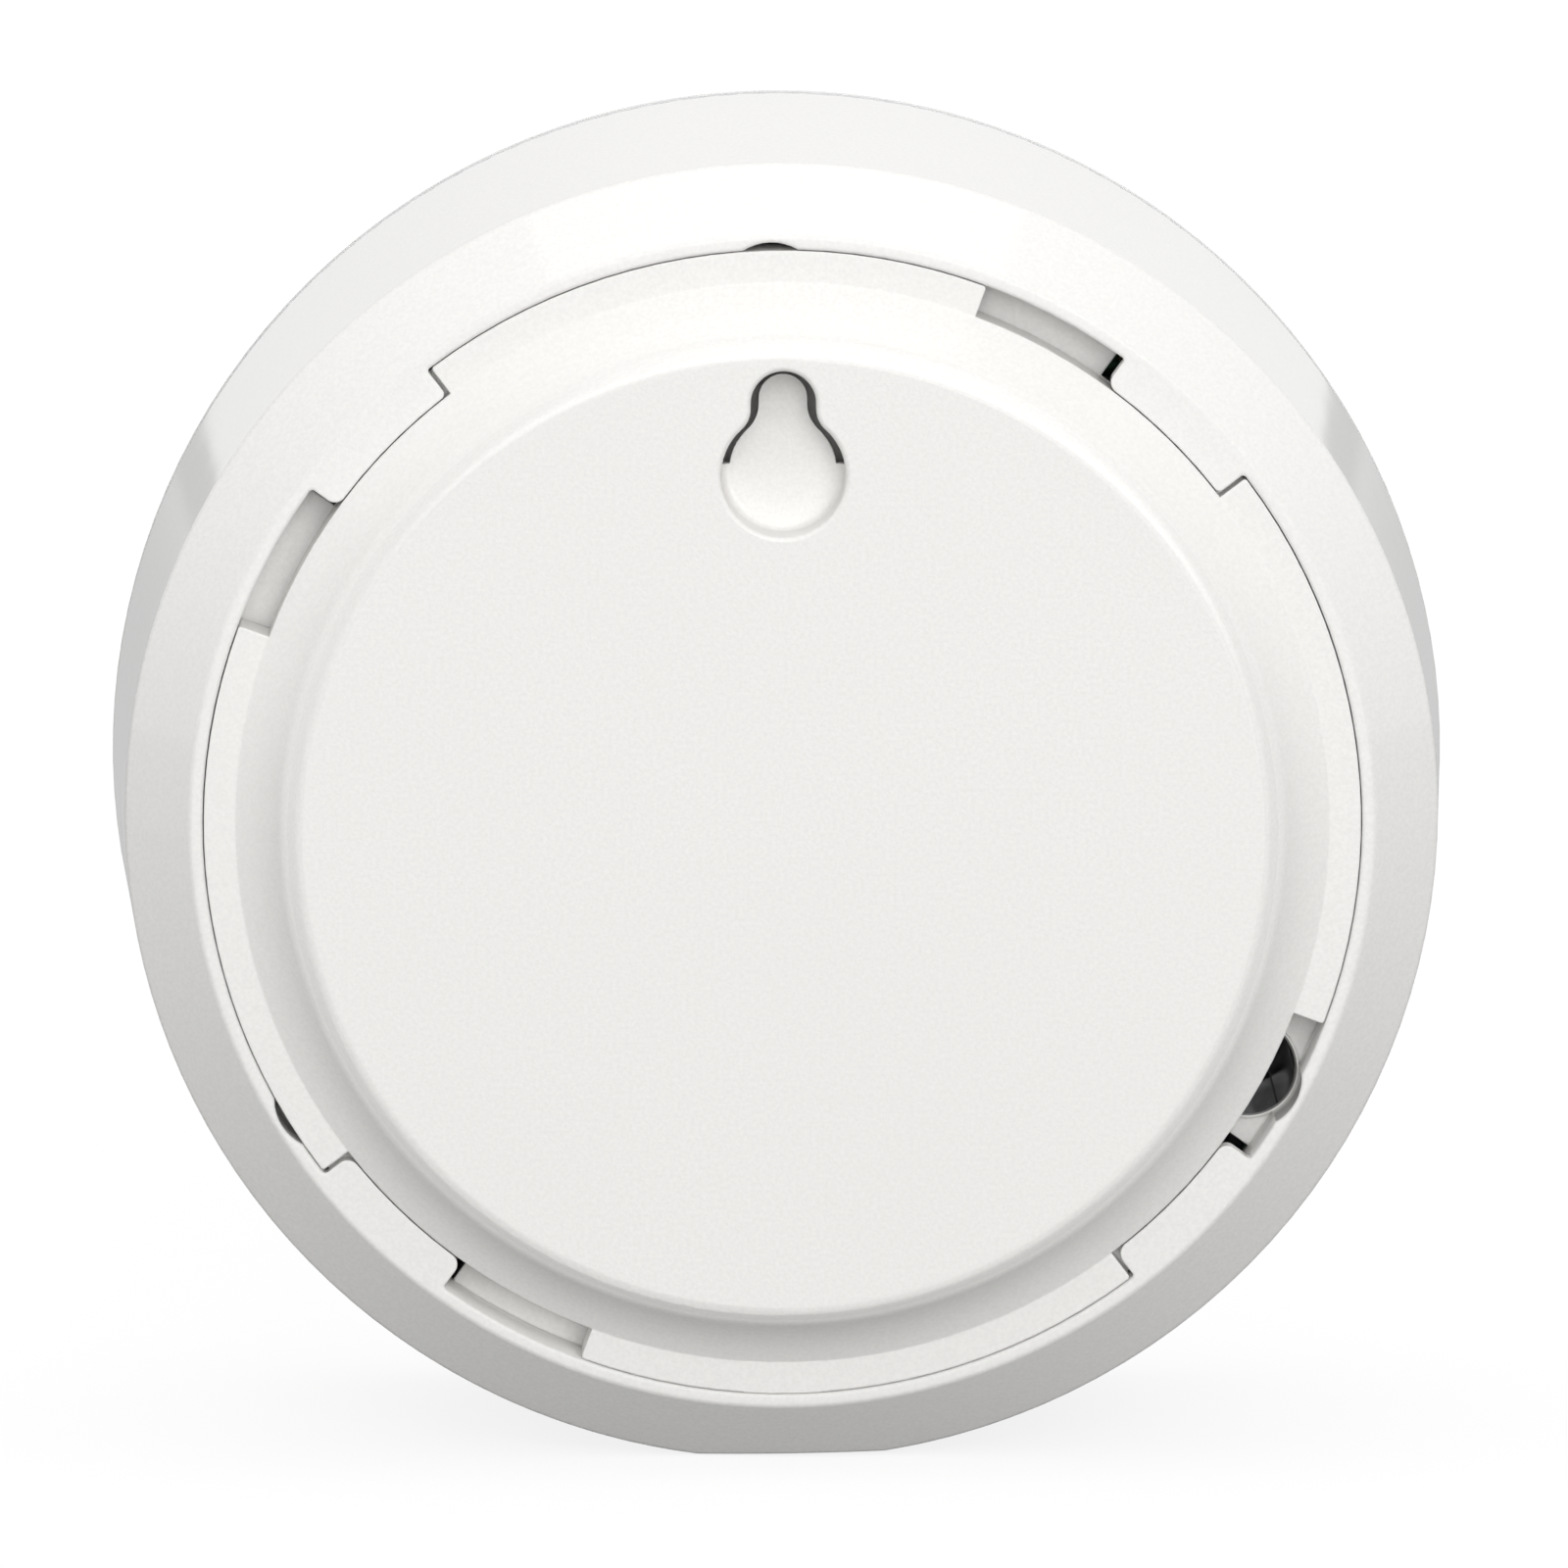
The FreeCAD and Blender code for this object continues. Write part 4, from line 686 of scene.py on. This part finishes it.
def cell_wrap(name):
    material, tree, shader = new_material(name)
    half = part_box("battery_cells")[1].x
    reach = maths(tree, "ABSOLUTE", axis(tree, "Object", "X"))
    bare = maths(tree, "GREATER_THAN", reach, half - BARE_END_MM * MM)
    film = patchy(tree, per_mm=(0.15, 1.2, 1.2), detail=3.0)
    put(tree, shader.inputs["Base Color"], mixed(tree, bare, mixed(tree, film, *CELL_FILM), CELL_END))
    put(tree, shader.inputs["Metallic"], bare)
    put(tree, shader.inputs["Roughness"], spread(tree, film, at_none=0.22, at_full=0.34))
    relief(tree, shader, film, depth_mm=0.03)
    return material


# The lenses' front faces show the yellow phosphor
def led_lenses(name):
    material, tree, shader = new_material(name)
    front = between(tree, axis(tree, "Normal", "Y"), *LED_FRONT, 1.0, 0.0)
    grains = patchy(tree, per_mm=1.5, detail=3.0)
    phosphor = mixed(tree, grains, *LED_PHOSPHOR)
    put(tree, shader.inputs["Base Color"], mixed(tree, front, LED_LENS, phosphor))
    put(tree, shader.inputs["Roughness"], spread(tree, grains, at_none=0.2, at_full=0.35))
    shader.inputs["Coat Weight"].default_value = 0.4
    relief(tree, shader, noise(tree, per_mm=4.0), depth_mm=0.02)
    return material


def copper_turns(name):
    material, tree, shader = new_material(name)
    turns = bands(tree, "Y", WINDING_PER_MM)
    # Painted light and shade: each turn is dark in its groove and bright on its crown
    put(tree, shader.inputs["Base Color"], mixed(tree, turns, *COPPER_GROOVE_SHADE_AND_CROWN))
    shader.inputs["Metallic"].default_value = 1.0
    put(tree, shader.inputs["Roughness"], varied(tree, per_mm=3.0, low=0.25, high=0.4))
    relief(tree, shader, turns, WINDING_DEPTH_MM)
    return material


def capacitor_can(name):
    material, tree, shader = new_material(name)
    end_face = maths(tree, "GREATER_THAN", facing_wall(tree), CAN_FACING)
    film = patchy(tree, per_mm=(1.0, 0.2, 1.0), detail=3.0)
    put(tree, shader.inputs["Base Color"], mixed(tree, end_face, mixed(tree, film, *CAN_FILM), CAN_END))
    put(tree, shader.inputs["Metallic"], end_face)
    put(tree, shader.inputs["Roughness"], spread(tree, film, at_none=0.25, at_full=0.4))
    relief(tree, shader, film, depth_mm=0.02)
    return material


# Materials by the slot they are for: those with a function of their own, then rows of values
OWN_LOOKS = {
    "plate_plastic": plate_plastic,
    "housing_plastic": housing_plastic,
    "cover_plastic": cover_plastic,
    "diffuser_plastic": milky_guide,
    "screw_steel": turned_steel,
    "ceramic": ceramic_disc,
    "foam": porous_foam,
    "lead_sleeve": lead_sleeves,
    "mesh_cloth": woven_mesh,
    "cell_wrap": cell_wrap,
    "led_lens": led_lenses,
    "coil_copper": copper_turns,
    "capacitor_sleeve": capacitor_can,
}
GRAINED_PLASTICS = {
    "sounder_plastic": {"colour": (0.028, 0.028, 0.030), "other": (0.04, 0.04, 0.042), "roughness": 0.45,
                        "per_mm": 5.0, "depth_mm": 0.02, "edge_mm": 0.15},
    "socket_plastic": {"colour": (0.78, 0.76, 0.70), "other": (0.70, 0.68, 0.62), "roughness": 0.5,
                       "per_mm": 3.0, "depth_mm": 0.02, "edge_mm": 0.1},
    "ferrite": {"colour": (0.07, 0.07, 0.075), "other": (0.12, 0.12, 0.125), "roughness": 0.6,
                "per_mm": 4.0, "depth_mm": 0.04, "edge_mm": 0.02},
    "chip_resin": {"colour": (0.035, 0.035, 0.038), "other": (0.05, 0.05, 0.053), "roughness": 0.55,
                   "per_mm": 8.0, "depth_mm": 0.02, "edge_mm": 0.08},
    "switch_plastic": {"colour": (0.05, 0.05, 0.05), "other": (0.075, 0.075, 0.075), "roughness": 0.5,
                       "per_mm": 5.0, "depth_mm": 0.02, "edge_mm": 0.1},
    "pin_plastic": {"colour": (0.78, 0.78, 0.76), "other": (0.72, 0.72, 0.70), "roughness": 0.3,
                    "per_mm": 2.0, "depth_mm": 0.01, "edge_mm": 0.1},
    "button_plastic": {"colour": (0.45, 0.46, 0.47), "other": (0.40, 0.41, 0.42), "roughness": 0.45,
                       "per_mm": 5.0, "depth_mm": 0.02, "edge_mm": 0.1},
}
LINED_METALS = {
    "disc_brass": {"colour": (0.78, 0.58, 0.27), "dull": (0.68, 0.49, 0.22), "roughness": 0.28,
                   "lines_per_mm": (0.3, 0.3, 9.0)},
    "contact_nickel": {"colour": (0.66, 0.64, 0.60), "dull": (0.5, 0.48, 0.44), "roughness": 0.3,
                       "lines_per_mm": (8.0, 0.4, 8.0)},
    "shield_tin": {"colour": (0.72, 0.72, 0.72), "dull": (0.55, 0.55, 0.56), "roughness": 0.32,
                   "lines_per_mm": (7.0, 7.0, 0.5)},
    "antenna_wire": {"colour": (0.75, 0.48, 0.28), "dull": (0.5, 0.28, 0.15), "roughness": 0.3,
                     "lines_per_mm": (2.0, 2.0, 2.0)},
}
CIRCUIT_BOARDS = {
    "board_laminate": {"mask": (0.02, 0.17, 0.07), "track": (0.04, 0.28, 0.12), "edge": (0.45, 0.40, 0.22)},
    "module_laminate": {"mask": (0.015, 0.07, 0.13), "track": (0.03, 0.13, 0.22),
                        "edge": (0.42, 0.38, 0.22)},
}


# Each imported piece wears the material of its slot
def dress():
    materials = {name: look(name) for name, look in OWN_LOOKS.items()}
    tables = ((grained, GRAINED_PLASTICS), (lined_metal, LINED_METALS), (circuit_board, CIRCUIT_BOARDS))
    for look, rows in tables:
        for name, values in rows.items():
            materials[name] = look(name, **values)
    for subpart in frame["record"]["subparts"]:
        worn = NODES[subpart["node"]].data.materials
        worn.clear()
        worn.append(materials[subpart["material_slot"]])


# Floor: pale, with a glow that only the camera, gloss and glass see, so it stays white but keeps the shadow
def floor():
    mesh = bpy.data.meshes.new("floor")
    level = CAD_BOX[0].z
    half = FLOOR_HALF
    corners = [(-half, -half, level), (half, -half, level), (half, half, level), (-half, half, level)]
    mesh.from_pydata(corners, [], [(0, 1, 2, 3)])
    plane = bpy.data.objects.new("floor", mesh)
    bpy.context.scene.collection.objects.link(plane)
    material = bpy.data.materials.new("floor")
    material.use_nodes = True
    tree = material.node_tree
    tree.nodes.clear()
    out = tree.nodes.new("ShaderNodeOutputMaterial")
    pale = tree.nodes.new("ShaderNodeBsdfDiffuse")
    put(tree, pale.inputs["Color"], (FLOOR_SHADE, FLOOR_SHADE, FLOOR_SHADE))
    glow = tree.nodes.new("ShaderNodeEmission")
    put(tree, glow.inputs["Color"], (1, 1, 1))
    path = tree.nodes.new("ShaderNodeLightPath")
    strength = 0.0
    for ray, seen in FLOOR_GLOW.items():
        strength = maths(tree, "ADD", maths(tree, "MULTIPLY", path.outputs[ray], seen), strength)
    tree.links.new(strength, glow.inputs["Strength"])
    both = tree.nodes.new("ShaderNodeAddShader")
    tree.links.new(pale.outputs[0], both.inputs[0])
    tree.links.new(glow.outputs[0], both.inputs[1])
    tree.links.new(both.outputs[0], out.inputs["Surface"])
    mesh.materials.append(material)


make_camera()
studio_world()
for lamp_name, lamp_values in LAMPS.items():
    make_lamp(lamp_name, **lamp_values)
bpy.context.scene.view_settings.view_transform = "Standard"
dress()
floor()
